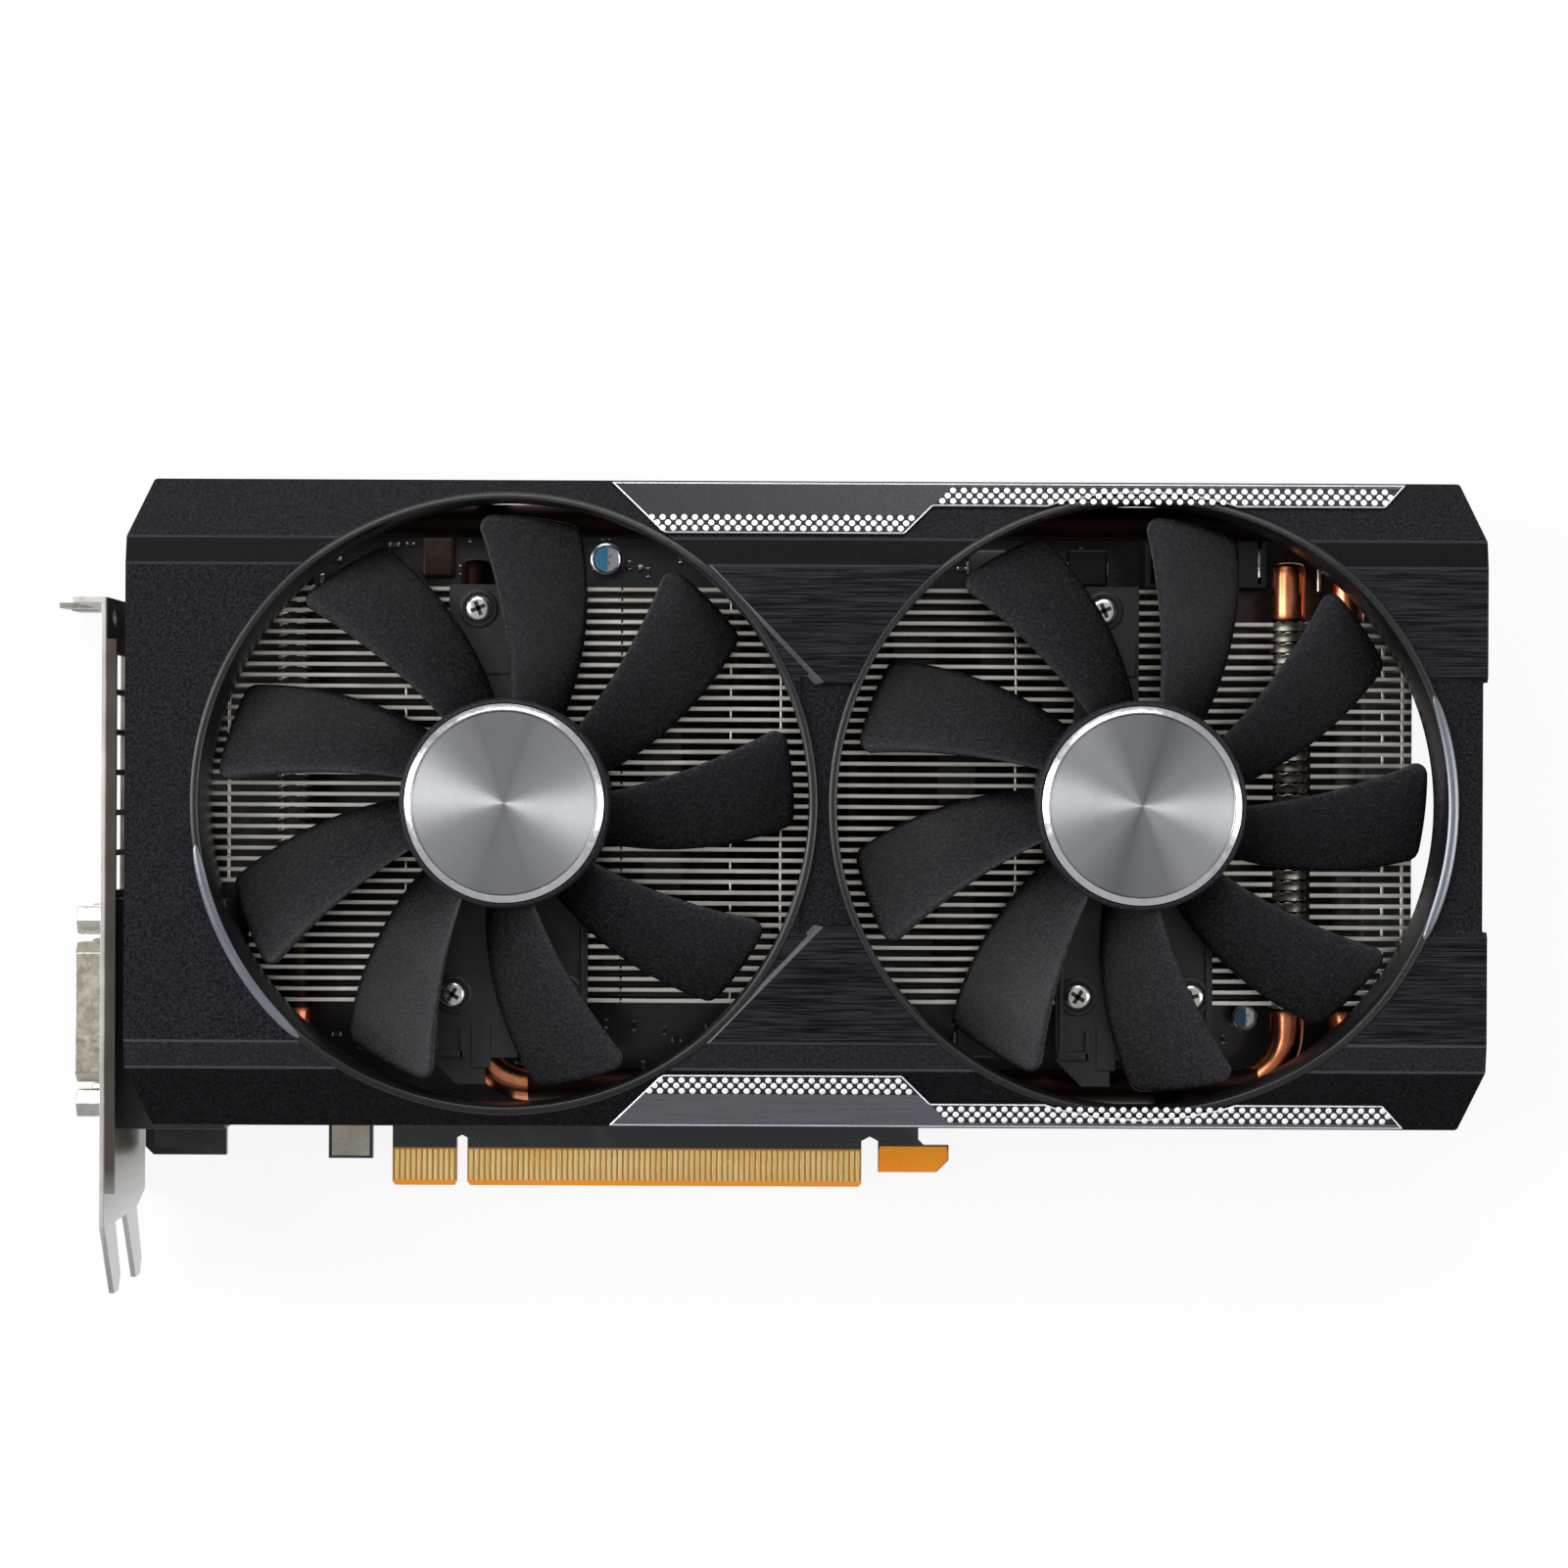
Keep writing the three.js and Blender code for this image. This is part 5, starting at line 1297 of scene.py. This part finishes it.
def lead_route(side):
    """Middle line of a fan's lead, from the motor carrier down to its socket."""
    x = fan_x[side]
    low, high = place_of(f"fan_lead_{side}")
    start = high.z - 1.1
    socket_y = low.y + 1.15
    corners = [
        (x + 4, high.y - 0.05, start), (x + 4, high.y - 4.6, start - 0.4),
        (x + 9, socket_y, low.z + 4.5), (x + 9, socket_y, low.z),
    ]
    return bent(corners, (2.4, 2.4))


for side in SIDES:
    x = fan_x[side]
    corner_z = (CARRIER_TOP - 4, CARRIER_TOP + 1)
    cut_corner = hollow((x - 4.2, x + 14.5), (middle_y - 51, middle_y - 44.6), corner_z)
    frame_piece = carve(copy_of(f"fan_carrier_{side}", "carrier_plastic"), cut_corner)
    frame_piece = rounded(frame_piece, 0.25, 2, 35)
    carrier = merge(f"motor_carrier_{side}", frame_piece, *carrier_details(side))
    fit(carrier, "root", "carrier_plastic", f"fan_carrier_{side}")
    places = [(x + dx, middle_y + dy, CARRIER_TOP) for dx, dy in CARRIER_SCREWS]
    heads = screws(f"carrier_screws_{side}", places, 2.35, 1.1, SCREW_TURNS)
    fit(heads, "root", "screw_steel", *[f"fan_screw_{side}_{n}" for n in (1, 2, 3)])
    header = block(f"lead_socket_{side}", *zip(*place_of(f"fan_header_{side}")), "socket_plastic", 0.3)
    fit(header, "root", "socket_plastic", f"fan_header_{side}")
    lead = rod_along(f"lead_{side}", lead_route(side), 1.05, 20, "lead_sleeve")
    fit(lead, "root", "lead_sleeve", f"fan_lead_{side}")


# ------------------------------------------------------------------ cooler: heat pipes, fins, cold plate

PIPE_RADIUS = 3.0
PINCH = 2.6  # length of a pipe's pinched end
NOTCH = 3.3  # half the width of a notch in the fins for a pipe
FIN_PITCH, FIN_THICKNESS, FIN_COUNT = 1.9, 0.28, 39
LAST_FINS, SHORT_RUN = 3, 33.5  # the last fins stop short of the far end
FIN_STEP = (0, FIN_PITCH, 0)
LIP = 0.72  # width of the folded edge along a fin's front
SLIT = (-7.35, -7.0, fins_high.z - 1.6)  # a narrow break in every fin: its two sides and its floor
# Columns of tabs that hook each fin to the next: X, width, and how many fins from tab to tab.
TAB_COLUMNS = (
    (129.9, 0.55, 1), (126.4, 0.5, 2), (20.8, 0.4, 1), (12.0, 0.35, 2), (-45.0, 0.4, 2), (-76.0, 0.5, 1),
    (62.0, 0.4, 1),
)
pipe_boxes = [place_of(f"heatpipe_{n}") for n in (1, 2, 3, 4)]
chip_x = middle_of("gpu_package").x
# Each pipe's run on the cold plate, its leg through the fins, and the edge that it goes round.
PIPES = ((chip_x + 4, pipe_boxes[0][1].x - 3, -1), (chip_x + 12, pipe_boxes[1][1].x - 3, 1),
         (chip_x - 4, pipe_boxes[2][0].x + 3, -1), (chip_x - 12, pipe_boxes[3][0].x + 3, 1))
LEG_Z = pipe_boxes[0][1].z - PIPE_RADIUS
RUN_Z = place_of("cold_plate")[1].z + 3.05


def heat_pipe(number, run_x, leg_x, side):
    """One pipe from the cold plate, round the end of the fins and back along its leg, with a pinched end."""
    low, high = pipe_boxes[number - 1]
    outer_y = high.y - 3 if side > 0 else low.y + 3
    end_y = low.y if side > 0 else high.y
    out = abs(outer_y - middle_y)
    fin_edge = fins_high.y - middle_y if side > 0 else middle_y - fins_low.y
    corners = [
        (run_x, middle_y - side * 23, RUN_Z), (run_x, middle_y + side * (fin_edge + 4.4), RUN_Z),
        (run_x, middle_y + side * out, LEG_Z), (leg_x, middle_y + side * out, LEG_Z),
        (leg_x, end_y + side * PINCH, LEG_Z),
    ]
    body = rod_along(f"pipe_{number}", bent(corners, (5, 8, 10), 12), PIPE_RADIUS - 0.04, 28, "copper")
    drops = [(0.04, 0), (0.06, 1.7), (0.4, 2.25), (1.2, 2.55), (PIPE_RADIUS, PINCH)]
    profile = [(PIPE_RADIUS - drop, along) for drop, along in drops]
    end = smooth(lathe("pipe_end", profile, 28, (0, 0), "copper"), 60)
    return merge(f"heat_pipe_{number}", body, moved(end, corners[-1], side * TAU / 4, "X"))


def fin_sheet(name, left, right, spans_open):
    """One fin with a folded lip along its front, which stops over each of the spans left open."""
    z0, z1 = fins_low.z, fins_high.z
    y0 = fins_low.y
    runs = [run_x for run_x, _, _ in PIPES]
    run_low, run_high, run_top = min(runs) - NOTCH, max(runs) + NOTCH, RUN_Z + NOTCH
    sheet = [(left, z0), (run_low, z0), (run_low, run_top), (run_high, run_top), (run_high, z0)]
    sheet += [(right, z0), (right, z1 - 0.05)]
    for low, high, floor in sorted(spans_open, reverse=True):
        sheet += [(high, z1 - 0.05), (high, floor), (low, floor), (low, z1 - 0.05)]
    sheet.append((left, z1 - 0.05))
    pieces = [along_y(name, sheet, y0, y0 + FIN_THICKNESS, "fin_aluminium")]
    edges = sorted([left, right, *[v for low, high, _ in spans_open for v in (low, high)]])
    section = [
        (y0, z1 - 0.5), (y0, z1 - 0.12), (y0 + 0.12, z1), (y0 + LIP - 0.1, z1), (y0 + LIP, z1 - 0.08),
        (y0 + LIP, z1 - 0.3), (y0 + FIN_THICKNESS, z1 - 0.3),
    ]
    for start, end in zip(edges[::2], edges[1::2]):
        pieces.append(along_x("lip", section, start, end, "fin_aluminium"))
    return merge(name, *pieces)


def collar():
    """The flange that a fin turns up round a pipe in an open notch, crinkled by the press."""
    points = []
    steps, rows = 16, ((0.0, 3.02), (0.55, 3.1), (1.05, 3.22), (1.5, 3.5))
    for i in range(steps + 1):
        turn = math.radians(-8 + 196 * i / steps)
        for along, radius in rows:
            wave = 0.16 * math.sin(i * 2.4) * along
            east = radius * math.cos(turn) * (1 + 0.02 * along)
            points.append((east, along + wave, radius * math.sin(turn)))
    return thickened(mesh_object("collar", points, skin(steps + 1, len(rows)), "fin_aluminium"), 0.16)


def fin_row(name, count, first, left, right, spans_open):
    """A row of like fins, from the fin of that number on."""
    sheet = moved(fin_sheet(name, left, right, spans_open), (0, FIN_PITCH * first, 0))
    return row_of(sheet, f"{name}s", "fin_aluminium", count, FIN_STEP)


def tab_column(x, width, every, first):
    """A column of tabs that hook the fins together, starting from Y = first."""
    spans = (x - width / 2, x + width / 2), (first + 0.3, first + FIN_PITCH + 0.1)
    tab = block("tab", *spans, (fins_high.z - 0.28, fins_high.z - 0.02), "fin_aluminium", 0.06)
    end = fins_high.y - (LAST_FINS * FIN_PITCH if x > fins_high.x - SHORT_RUN else 0.0)
    count = int((end - first - 0.3) / (FIN_PITCH * every))
    return row_of(tab, "tabs", "fin_aluminium", count, (0, FIN_PITCH * every, 0))


def sleeve(leg_x, first):
    """The inside of the collars, as one tube along a pipe's leg through the fins, coloured dark as painted
    shade.
    """
    past_last_fins = leg_x > fins_high.x - SHORT_RUN
    start = (fins_low.y if leg_x > -60 else first) + 0.4
    end = fins_high.y - 0.4 - (LAST_FINS * FIN_PITCH if past_last_fins else 0.0)
    turns = [TAU * i / 28 for i in range(28)]
    outline = [(leg_x + 3.07 * math.cos(turn), LEG_Z + 3.07 * math.sin(turn)) for turn in turns]
    return along_y("sleeve", outline, start, end, "shaded_aluminium")


def fins_and_tabs():
    """Thirty-nine fins, with columns of small tabs that hook each one to the next."""
    leg_x, outer_x = PIPES[0][1], PIPES[3][1]
    open_leg = (leg_x - NOTCH, leg_x + NOTCH, LEG_Z - NOTCH)
    socket = place_of("dvi_socket_body")[1]
    short_count = math.ceil((socket.y + 1.0 - fins_low.y) / FIN_PITCH)
    first_long = fins_low.y + short_count * FIN_PITCH
    first_last = FIN_COUNT - LAST_FINS
    short = fin_row("short_fin", short_count, 0, socket.x + 3.0, fins_high.x, [SLIT, open_leg])
    last = fin_row("last_fin", LAST_FINS, first_last, fins_low.x, fins_high.x - SHORT_RUN, [SLIT])
    long_count = first_last - short_count
    long = fin_row("long_fin", long_count, short_count, fins_low.x, fins_high.x, [SLIT, open_leg])
    columns = [
        tab_column(x, width, every, fins_low.y if x > -70 else first_long) for x, width, every in TAB_COLUMNS
    ]
    ring = moved(collar(), (leg_x, fins_low.y - 0.6, LEG_Z))
    collars = row_of(ring, "collars", "fin_aluminium", first_last, FIN_STEP)
    outer_ring = moved(collar(), (outer_x, first_long - 0.6, LEG_Z - 0.2))
    outer_collars = row_of(outer_ring, "outer_collars", "fin_aluminium", FIN_COUNT - short_count, FIN_STEP)
    sleeves = [sleeve(pipe[1], first_long) for pipe in PIPES[1:]]
    return smooth(merge("cooling_fins", short, long, last, collars, outer_collars, *sleeves, *columns), 30)


for number, (run_x, leg_x, side) in enumerate(PIPES, 1):
    fit(heat_pipe(number, run_x, leg_x, side), "root", "copper", f"heatpipe_{number}")
fit(fins_and_tabs(), "root", "fin_aluminium", "fin_stack")
# the cold plate takes the dark copper as painted shade
plate_piece = rounded(copy_of("cold_plate", "stained_copper", "processor_plate"), 0.25, 2, 35)
fit(plate_piece, "root", "copper", "cold_plate")


# ------------------------------------------------------------------ circuit board

BOARD_TOP, BOARD_BACK = board_high.z, board_low.z
LONG_HALF = 35.675  # the long tongue runs this far each way from X = 0
SHORT_RIGHT = -LONG_HALF - 1.9
SHORT_LEFT = SHORT_RIGHT - 11.65
HOOK_LEFT = LONG_HALF + 3.0
FIRST_CONTACTS = ((SHORT_LEFT + 0.51, 11), (-LONG_HALF + 0.36, 71))  # left side of the first, how many
POWER_PITCH = 4.2  # from one cell of the power socket to the next
# Regions of the board that hold small parts: lowest and highest X, lowest and highest Y.
STRIP_LOWER, STRIP_UPPER = (-60.0, 118.0, 20.5, 31.0), (-88.0, 80.0, 109.5, 119.5)
BACK_REGIONS = [(-70, 116, 16, 38), (62, 117, 44, 118), (-70, -20, 42, 118), (-15, 58, 102, 119)]
BEHIND_CHIP = (4, 48, 46, 93)
# Name, regions, level, seed, least distance apart, size of one part, finish.
STREWN = (
    ("front_parts", [STRIP_LOWER, STRIP_UPPER], BOARD_TOP, 7, 2.6, (1.6, 0.85, 0.6), "ferrite"),
    ("back_resistors", BACK_REGIONS, BOARD_BACK, 11, 3.4, (1.5, 0.8, 0.5), "ferrite"),
    ("back_capacitors", [BEHIND_CHIP, *BACK_REGIONS[1:3]], BOARD_BACK, 5, 4.2, (1.8, 1.0, 0.9), "ceramic"),
)


def contact_rows():
    """Gold contacts on both faces of the two tongues, one millimetre apart, and the gold-faced hook."""
    pieces = []
    hook = [(0.25, 2.95), (10.5, 2.95), (12.55, 5.0), (12.55, 7.35), (0.25, 7.35)]
    hook = softened([(HOOK_LEFT + x, y) for x, y in hook], 0.3, 3)
    for face in (1, -1):
        surface = BOARD_TOP if face > 0 else BOARD_BACK
        depth = sorted((surface - 0.05 * face, surface + 0.045 * face))
        for start, count in FIRST_CONTACTS:
            pad = block("contact", (start, start + 0.58), (0.95, 6.5), depth, "contact_gold", 0.03, 1)
            pieces.append(row_of(pad, "contacts", "contact_gold", count, (1, 0, 0)))
        pieces.append(plate("hook_face", hook, *depth, "hook_gold"))
    return smooth(merge("edge_contacts", *pieces), 40)


def edge_plating():
    """Gold colour on the bevelled lower edge of the tongues and the rim of the hook."""
    strips = [
        ((SHORT_LEFT + 0.3, SHORT_RIGHT - 0.3), (0.0, 0.7), (BOARD_BACK + 0.35, BOARD_TOP - 0.35)),
        ((-35.3, 35.3), (0.0, 0.7), (BOARD_BACK + 0.35, BOARD_TOP - 0.35)),
        ((HOOK_LEFT, HOOK_LEFT + 10.6), (2.7, 3.4), (BOARD_BACK - 0.04, BOARD_TOP + 0.04)),
    ]
    return merge("edge_plating", *[block("edge", *spans, "hook_gold", 0.1) for spans in strips])


def chip_body(length, width, height, finish):
    """The body of a small surface-mounted part, standing on z = 0."""
    return block("part", (-length / 2, length / 2), (-width / 2, width / 2), (0, height), finish, 0.06, 1)


def terminals(length, width, height):
    """The two soldered ends of a small part."""
    across, up = (-width / 2 - 0.03, width / 2 + 0.03), (0, height + 0.03)
    middles = (-length / 2, length / 2)
    ends = [block("end", (x - 0.22, x + 0.22), across, up, "solder", 0.08, 1) for x in middles]
    return merge("ends", *ends)


def strewn_parts(name, regions, level, seed, apart, size, finish):
    """Small parts strewn over regions of one face of the board, each with its two soldered ends."""
    made = []
    for part_finish in (finish, "solder"):
        points, faces = [], []
        for x0, x1, y0, y1 in regions:
            base = len(points)
            points += [(x, y, level) for x, y in rectangle((x0, x1), (y0, y1))]
            faces.append((base, base + 1, base + 2, base + 3))
        field = mesh_object(name, points, faces, part_finish)
        piece = chip_body(*size, finish) if part_finish == finish else terminals(*size)
        if level == BOARD_BACK:
            flipped(piece)
        grown = grow(strewn, field, name, part_finish, Piece=piece, Apart=apart * MM, Seed=seed, Smallest=0.7)
        discard(piece)
        made.append(grown)
    return merge(name, *made)


def solder_joints(places):
    """Rounded solder cones where leads come through the back of the board."""
    profile = [(0.75, 0), (0.62, 0.12), (0.4, 0.3), (0.3, 0.7), (0.22, 0.85), (0, 0.88)]
    cone = flipped(lathe("joint", profile, 12, (0, 0), "solder"))
    return smooth(set_on([(x, y, BOARD_BACK) for x, y in places], cone, "solder_joints", "solder"), 50)


def pin_places():
    """Where the leads of the sockets, coils and capacitors come through the board."""
    places = []
    power_low, power_high = place_of("power_connector")
    power_x = (power_low.x + power_high.x) / 2
    for column in range(4):
        for row in range(2):
            places.append((power_x + (column - 1.5) * POWER_PITCH, power_low.y + 1.6 + row * POWER_PITCH))
    dvi_low, dvi_high = place_of("dvi_socket_body")
    for row in range(4):
        for column in range(12):
            places.append((dvi_low.x + 4.5 + row * 2.2, middle_of("dvi_socket_body").y - 11 + column * 2.0))
    places += [(dvi_low.x + off, y) for off in (9, 15) for y in (dvi_low.y + 2.2, dvi_high.y - 2.2)]
    for node in ("capacitor_1", "capacitor_2"):
        centre = middle_of(node)
        places += [(centre.x - 1.2, centre.y), (centre.x + 1.2, centre.y)]
    for x in (71.0, 79.5, 88.0, 96.5):
        places += [(x, 44.0), (x, 49.0), (x, 88.0), (x, 93.0)]
    return places


board_piece = rounded(copy_of("circuit_board", "board_laminate"), 0.12, 1, 40)
board = merge("printed_board", board_piece, contact_rows(), edge_plating())
fit(board, "root", "board_laminate", "circuit_board")
fit(solder_joints(pin_places()), "root", "board_laminate")
for kind in STREWN:
    fit(strewn_parts(*kind), "root", "chip_resin")


# ------------------------------------------------------------------ parts that stand on the board

COIL_PLACES = (
    (58, 112), (67, 112), (76, 112), (-52, 28), (34, 27), (56, 27), (118, 40), (118, 58), (118, 76),
)
SOLDER_PLACES = ((-6.8, 111.9), (-4.8, 111.9), (-12.0, 28.5), (62.0, 30.0), (112.0, 106.0))
BACKING_TURNS = [(0, 0, 0.4), (0, 0, 1.1), (0, 0, 0.7), (0, 0, 1.9)]


def capacitor(node):
    """A round aluminium can with a rolled groove, a rolled rim and a blue mark over half of its top."""
    low, high = place_of(node)
    centre = middle_of(node)
    radius = (high.x - low.x) / 2 - 0.03
    foot, top = low.z, high.z
    profile = [
        (0, foot + 0.02), (radius - 0.1, foot + 0.02), (radius, foot + 0.2), (radius, foot + 1.3),
        (radius - 0.28, foot + 1.6), (radius, foot + 1.95), (radius, top - 0.45), (radius - 0.12, top - 0.12),
        (radius - 0.4, top), (radius - 0.62, top - 0.06), (radius - 0.72, top - 0.16), (0, top - 0.16),
    ]
    can = smooth(lathe("can", profile, 48, (centre.x, centre.y), "capacitor_can"), 30)
    inner = radius - 0.74
    turns = [math.radians(84 + 192 * i / 24) for i in range(25)]
    crescent = [(centre.x + inner * math.cos(turn), centre.y + inner * math.sin(turn)) for turn in turns]
    mark = plate("mark", crescent, top - 0.17, top - 0.12, "capacitor_mark")
    parts = [can, mark]
    # the vent scores on the top are thin dark strips: painted shadow
    for turn in (0.6, 2.1):
        vent = block("vent", (-inner * 0.6, inner * 0.6), (-0.07, 0.07), (0, 0.03), "screw_shadow", 0.01, 1)
        parts.append(moved(vent, (centre.x, centre.y, top - 0.165), turn))
    return merge(f"electrolytic_{node[-1]}", *parts)


def power_socket():
    """The moulded socket, with a latch ridge and a square contact in each cell."""
    low, high = place_of("power_connector")
    body = rounded(copy_of("power_connector", "socket_plastic"), 0.2, 1, 40)
    pin = block("pin", (-0.55, 0.55), (-6.0, 0.0), (-0.55, 0.55), "contact_gold", 0.2)
    centre_x, centre_z = (low.x + high.x) / 2, (low.z + high.z) / 2
    columns = [centre_x + (column - 1.5) * POWER_PITCH for column in range(4)]
    rows = [centre_z + (row - 0.5) * POWER_PITCH for row in range(2)]
    places = [(x, high.y - 2.0, z) for x in columns for z in rows]
    spans = (low.y + 0.6, high.y - 0.6), (high.z - 0.3, high.z)
    ribs = [
        block("rib", (x - 0.4, x + 0.4), *spans, "socket_plastic", 0.1)
        for x in (low.x + 1.2, centre_x - 2.4, centre_x + 2.4, high.x - 1.2)
    ]
    return merge("power_socket", body, *ribs, set_on(places, pin, "pins", "contact_gold"))


def choke(x, y):
    """A moulded coil block with soldered feet at both ends."""
    height = (BOARD_TOP + 0.2, BOARD_TOP + 3.9)
    core = block("core", (x - 3.4, x + 3.4), (y - 3.2, y + 3.2), height, "ferrite", 0.5, 3)
    spans = (y - 1.2, y + 1.2), (BOARD_TOP, BOARD_TOP + 1.6)
    feet = [block("foot", (end - 0.35, end + 0.35), *spans, "solder", 0.15) for end in (x - 3.5, x + 3.5)]
    return merge("choke", core, *feet)


for node in ("capacitor_1", "capacitor_2"):
    fit(capacitor(node), "root", "capacitor_can", node)
fit(power_socket(), "root", "socket_plastic", "power_connector")
fit(merge("chokes", *[choke(x, y) for x, y in COIL_PLACES]), "root", "chip_resin")
spans = (-43.9, -38.4), (109.9, 119.4), (BOARD_TOP, BOARD_TOP + 3.2)
crystal = block("crystal", *spans, "tarnished_tin", 0.7, 3)
fit(crystal, "root", "plated_steel")
label = block("tab_label", (-60.2, -53.4), (5.3, 10.8), (BOARD_TOP, BOARD_TOP + 0.08), "label_foil", 0.03, 1)
spans = (-92.4, -81.0), (6.6, 10.6), (BOARD_TOP, BOARD_TOP + 0.06)
corner_label = block("corner_pad", *spans, "ferrite", 0.03, 1)
fit(merge("board_labels", label, corner_label), "root", "board_laminate")
dome = lathe("dome", [(0.75, 0), (0.66, 0.2), (0.4, 0.4), (0, 0.48)], 16, (0, 0), "solder")
domes = set_on([(x, y, BOARD_TOP) for x, y in SOLDER_PLACES], dome, "solder_points", "solder")
fit(smooth(domes, 60), "root", "board_laminate")
wires = [
    rod_along("wire", [(x, start, 19.4), (x, end, 19.4), (x, end + 0.8, 18.6)], 0.32, 10, "screw_steel")
    for x, start, end in ((104.8, 109.6, 113.8), (115.2, 107.2, 112.8))
]
fit(merge("clip_wires", *wires), "root", "screw_steel")

backing = rounded(copy_of("retention_plate", "plated_steel", "backing_plate"), 0.2, 2, 35)
fit(backing, "root", "plated_steel", "retention_plate")
cooler_screws = [f"cooler_screw_{n}" for n in (1, 2, 3, 4)]
plate_back = place_of("retention_plate")[0].z
places = [(middle_of(node).x, middle_of(node).y, plate_back) for node in cooler_screws]
heads = screws("backing_screws", places, 3.15, 1.6, BACKING_TURNS, hanging=True)
fit(heads, "root", "screw_steel", *cooler_screws)


# ------------------------------------------------------------------ bracket and display sockets

PORT_MIDDLE = {"hdmi_socket": 4.2, "displayport_socket": 4.0}  # height of each tongue's middle
PORT_CONTACTS = 10


def socket_holes(node):
    """Three rows of small contact holes, and a cross of blade slots, on a display socket's face, drawn as
    thin dark inserts: painted shadow.
    """
    face = place_of(node)[0].x + 0.8
    _, y, z = middle_of(node)
    square = block("hole", (-0.05, 0.05), (-0.5, 0.5), (-0.5, 0.5), "screw_shadow", 0.02, 1)
    places = [(face, y - 9.2 + column * 1.95, z + (row - 1) * 1.9) for column in range(8) for row in range(3)]
    blades = (((y + 5.9, y + 9.8), (z - 0.2, z + 0.2)), ((y + 7.6, y + 8.1), (z - 2.2, z + 2.2)))
    slots = [block("slot", (face - 0.05, face + 0.05), *spans, "screw_shadow", 0.02, 1) for spans in blades]
    return merge("holes", set_on(places, square, "holes", "screw_shadow"), *slots)


def hexagon_post(node):
    """A hexagonal nut with chamfered corners, a threaded bore and its washer face."""
    start = place_of(node)[0].x + 1.2
    _, y, z = middle_of(node)
    post = rounded(copy_of(node, "screw_steel"), 0.22, 2, 40)
    profile = [(1.0, -0.1), (1.22, -0.1), (1.02, 0.1), (1.0, 0.1)]
    # the thread ridges in the bore are dark: painted shadow
    ridges = []
    for i in range(7):
        ring = lathe("ridge", profile, 20, (0, 0), "screw_shadow", closed=True)
        ridges.append(moved(ring, (start + 0.6 * i, y, z), TAU / 4, "Y"))
    return merge(f"hexagon_post_{node[-1]}", post, *ridges)


def port(node):
    """A folded metal shell with gold contacts along both faces of its tongue."""
    low, high = place_of(node)
    z = PORT_MIDDLE[node]
    shell = rounded(copy_of(node, "dull_tin"), 0.18, 1, 40)
    pitch = (high.y - low.y - 5.4) / (PORT_CONTACTS - 1)
    spans = (low.x + 1.3, low.x + 7.0), (low.y + 2.7 - 0.17, low.y + 2.7 + 0.17)
    pieces = []
    for depth in ((z - 0.56, z - 0.49), (z + 0.49, z + 0.56)):
        contact = block("contact", *spans, depth, "contact_gold", 0.01, 1)
        pieces.append(row_of(contact, "contacts", "contact_gold", PORT_CONTACTS, (0, pitch, 0)))
    return merge(f"{node}_shell", shell, *pieces)


slotted = rounded(copy_of("bracket", "bracket_steel", "slotted_bracket", pierced=True), 0.16, 2, 30)
fit(slotted, "root", "plated_steel", "bracket")
block_of_sockets = rounded(copy_of("dvi_socket_body", "socket_plastic"), 0.2, 1, 40)
faces = [socket_holes(f"dvi_shell_{n}") for n in (1, 2)]
fit(merge("display_socket_block", block_of_sockets, *faces), "root", "socket_plastic", "dvi_socket_body")
for n in (1, 2):
    shell = rounded(copy_of(f"dvi_shell_{n}", "dull_tin", f"display_shell_{n}"), 0.16, 2, 35)
    fit(shell, "root", "plated_steel", f"dvi_shell_{n}")
for n in (1, 2, 3, 4):
    fit(hexagon_post(f"dvi_jackscrew_{n}"), "root", "screw_steel", f"dvi_jackscrew_{n}")
for node in PORT_MIDDLE:
    fit(port(node), "root", "plated_steel", node)


# ------------------------------------------------------------------ frame nodes that keep their shapes

NODE_FINISH = {
    "bearing": "bearing_bronze",
    "stator": "copper",
    "shaft": "screw_steel",
    "memory_chip": "chip_resin",
    "gpu_package": "package_substrate",
}
for node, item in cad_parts.items():
    for prefix, finish in NODE_FINISH.items():
        if node.startswith(prefix):
            for slot in item.material_slots:
                slot.material = finishes[finish]
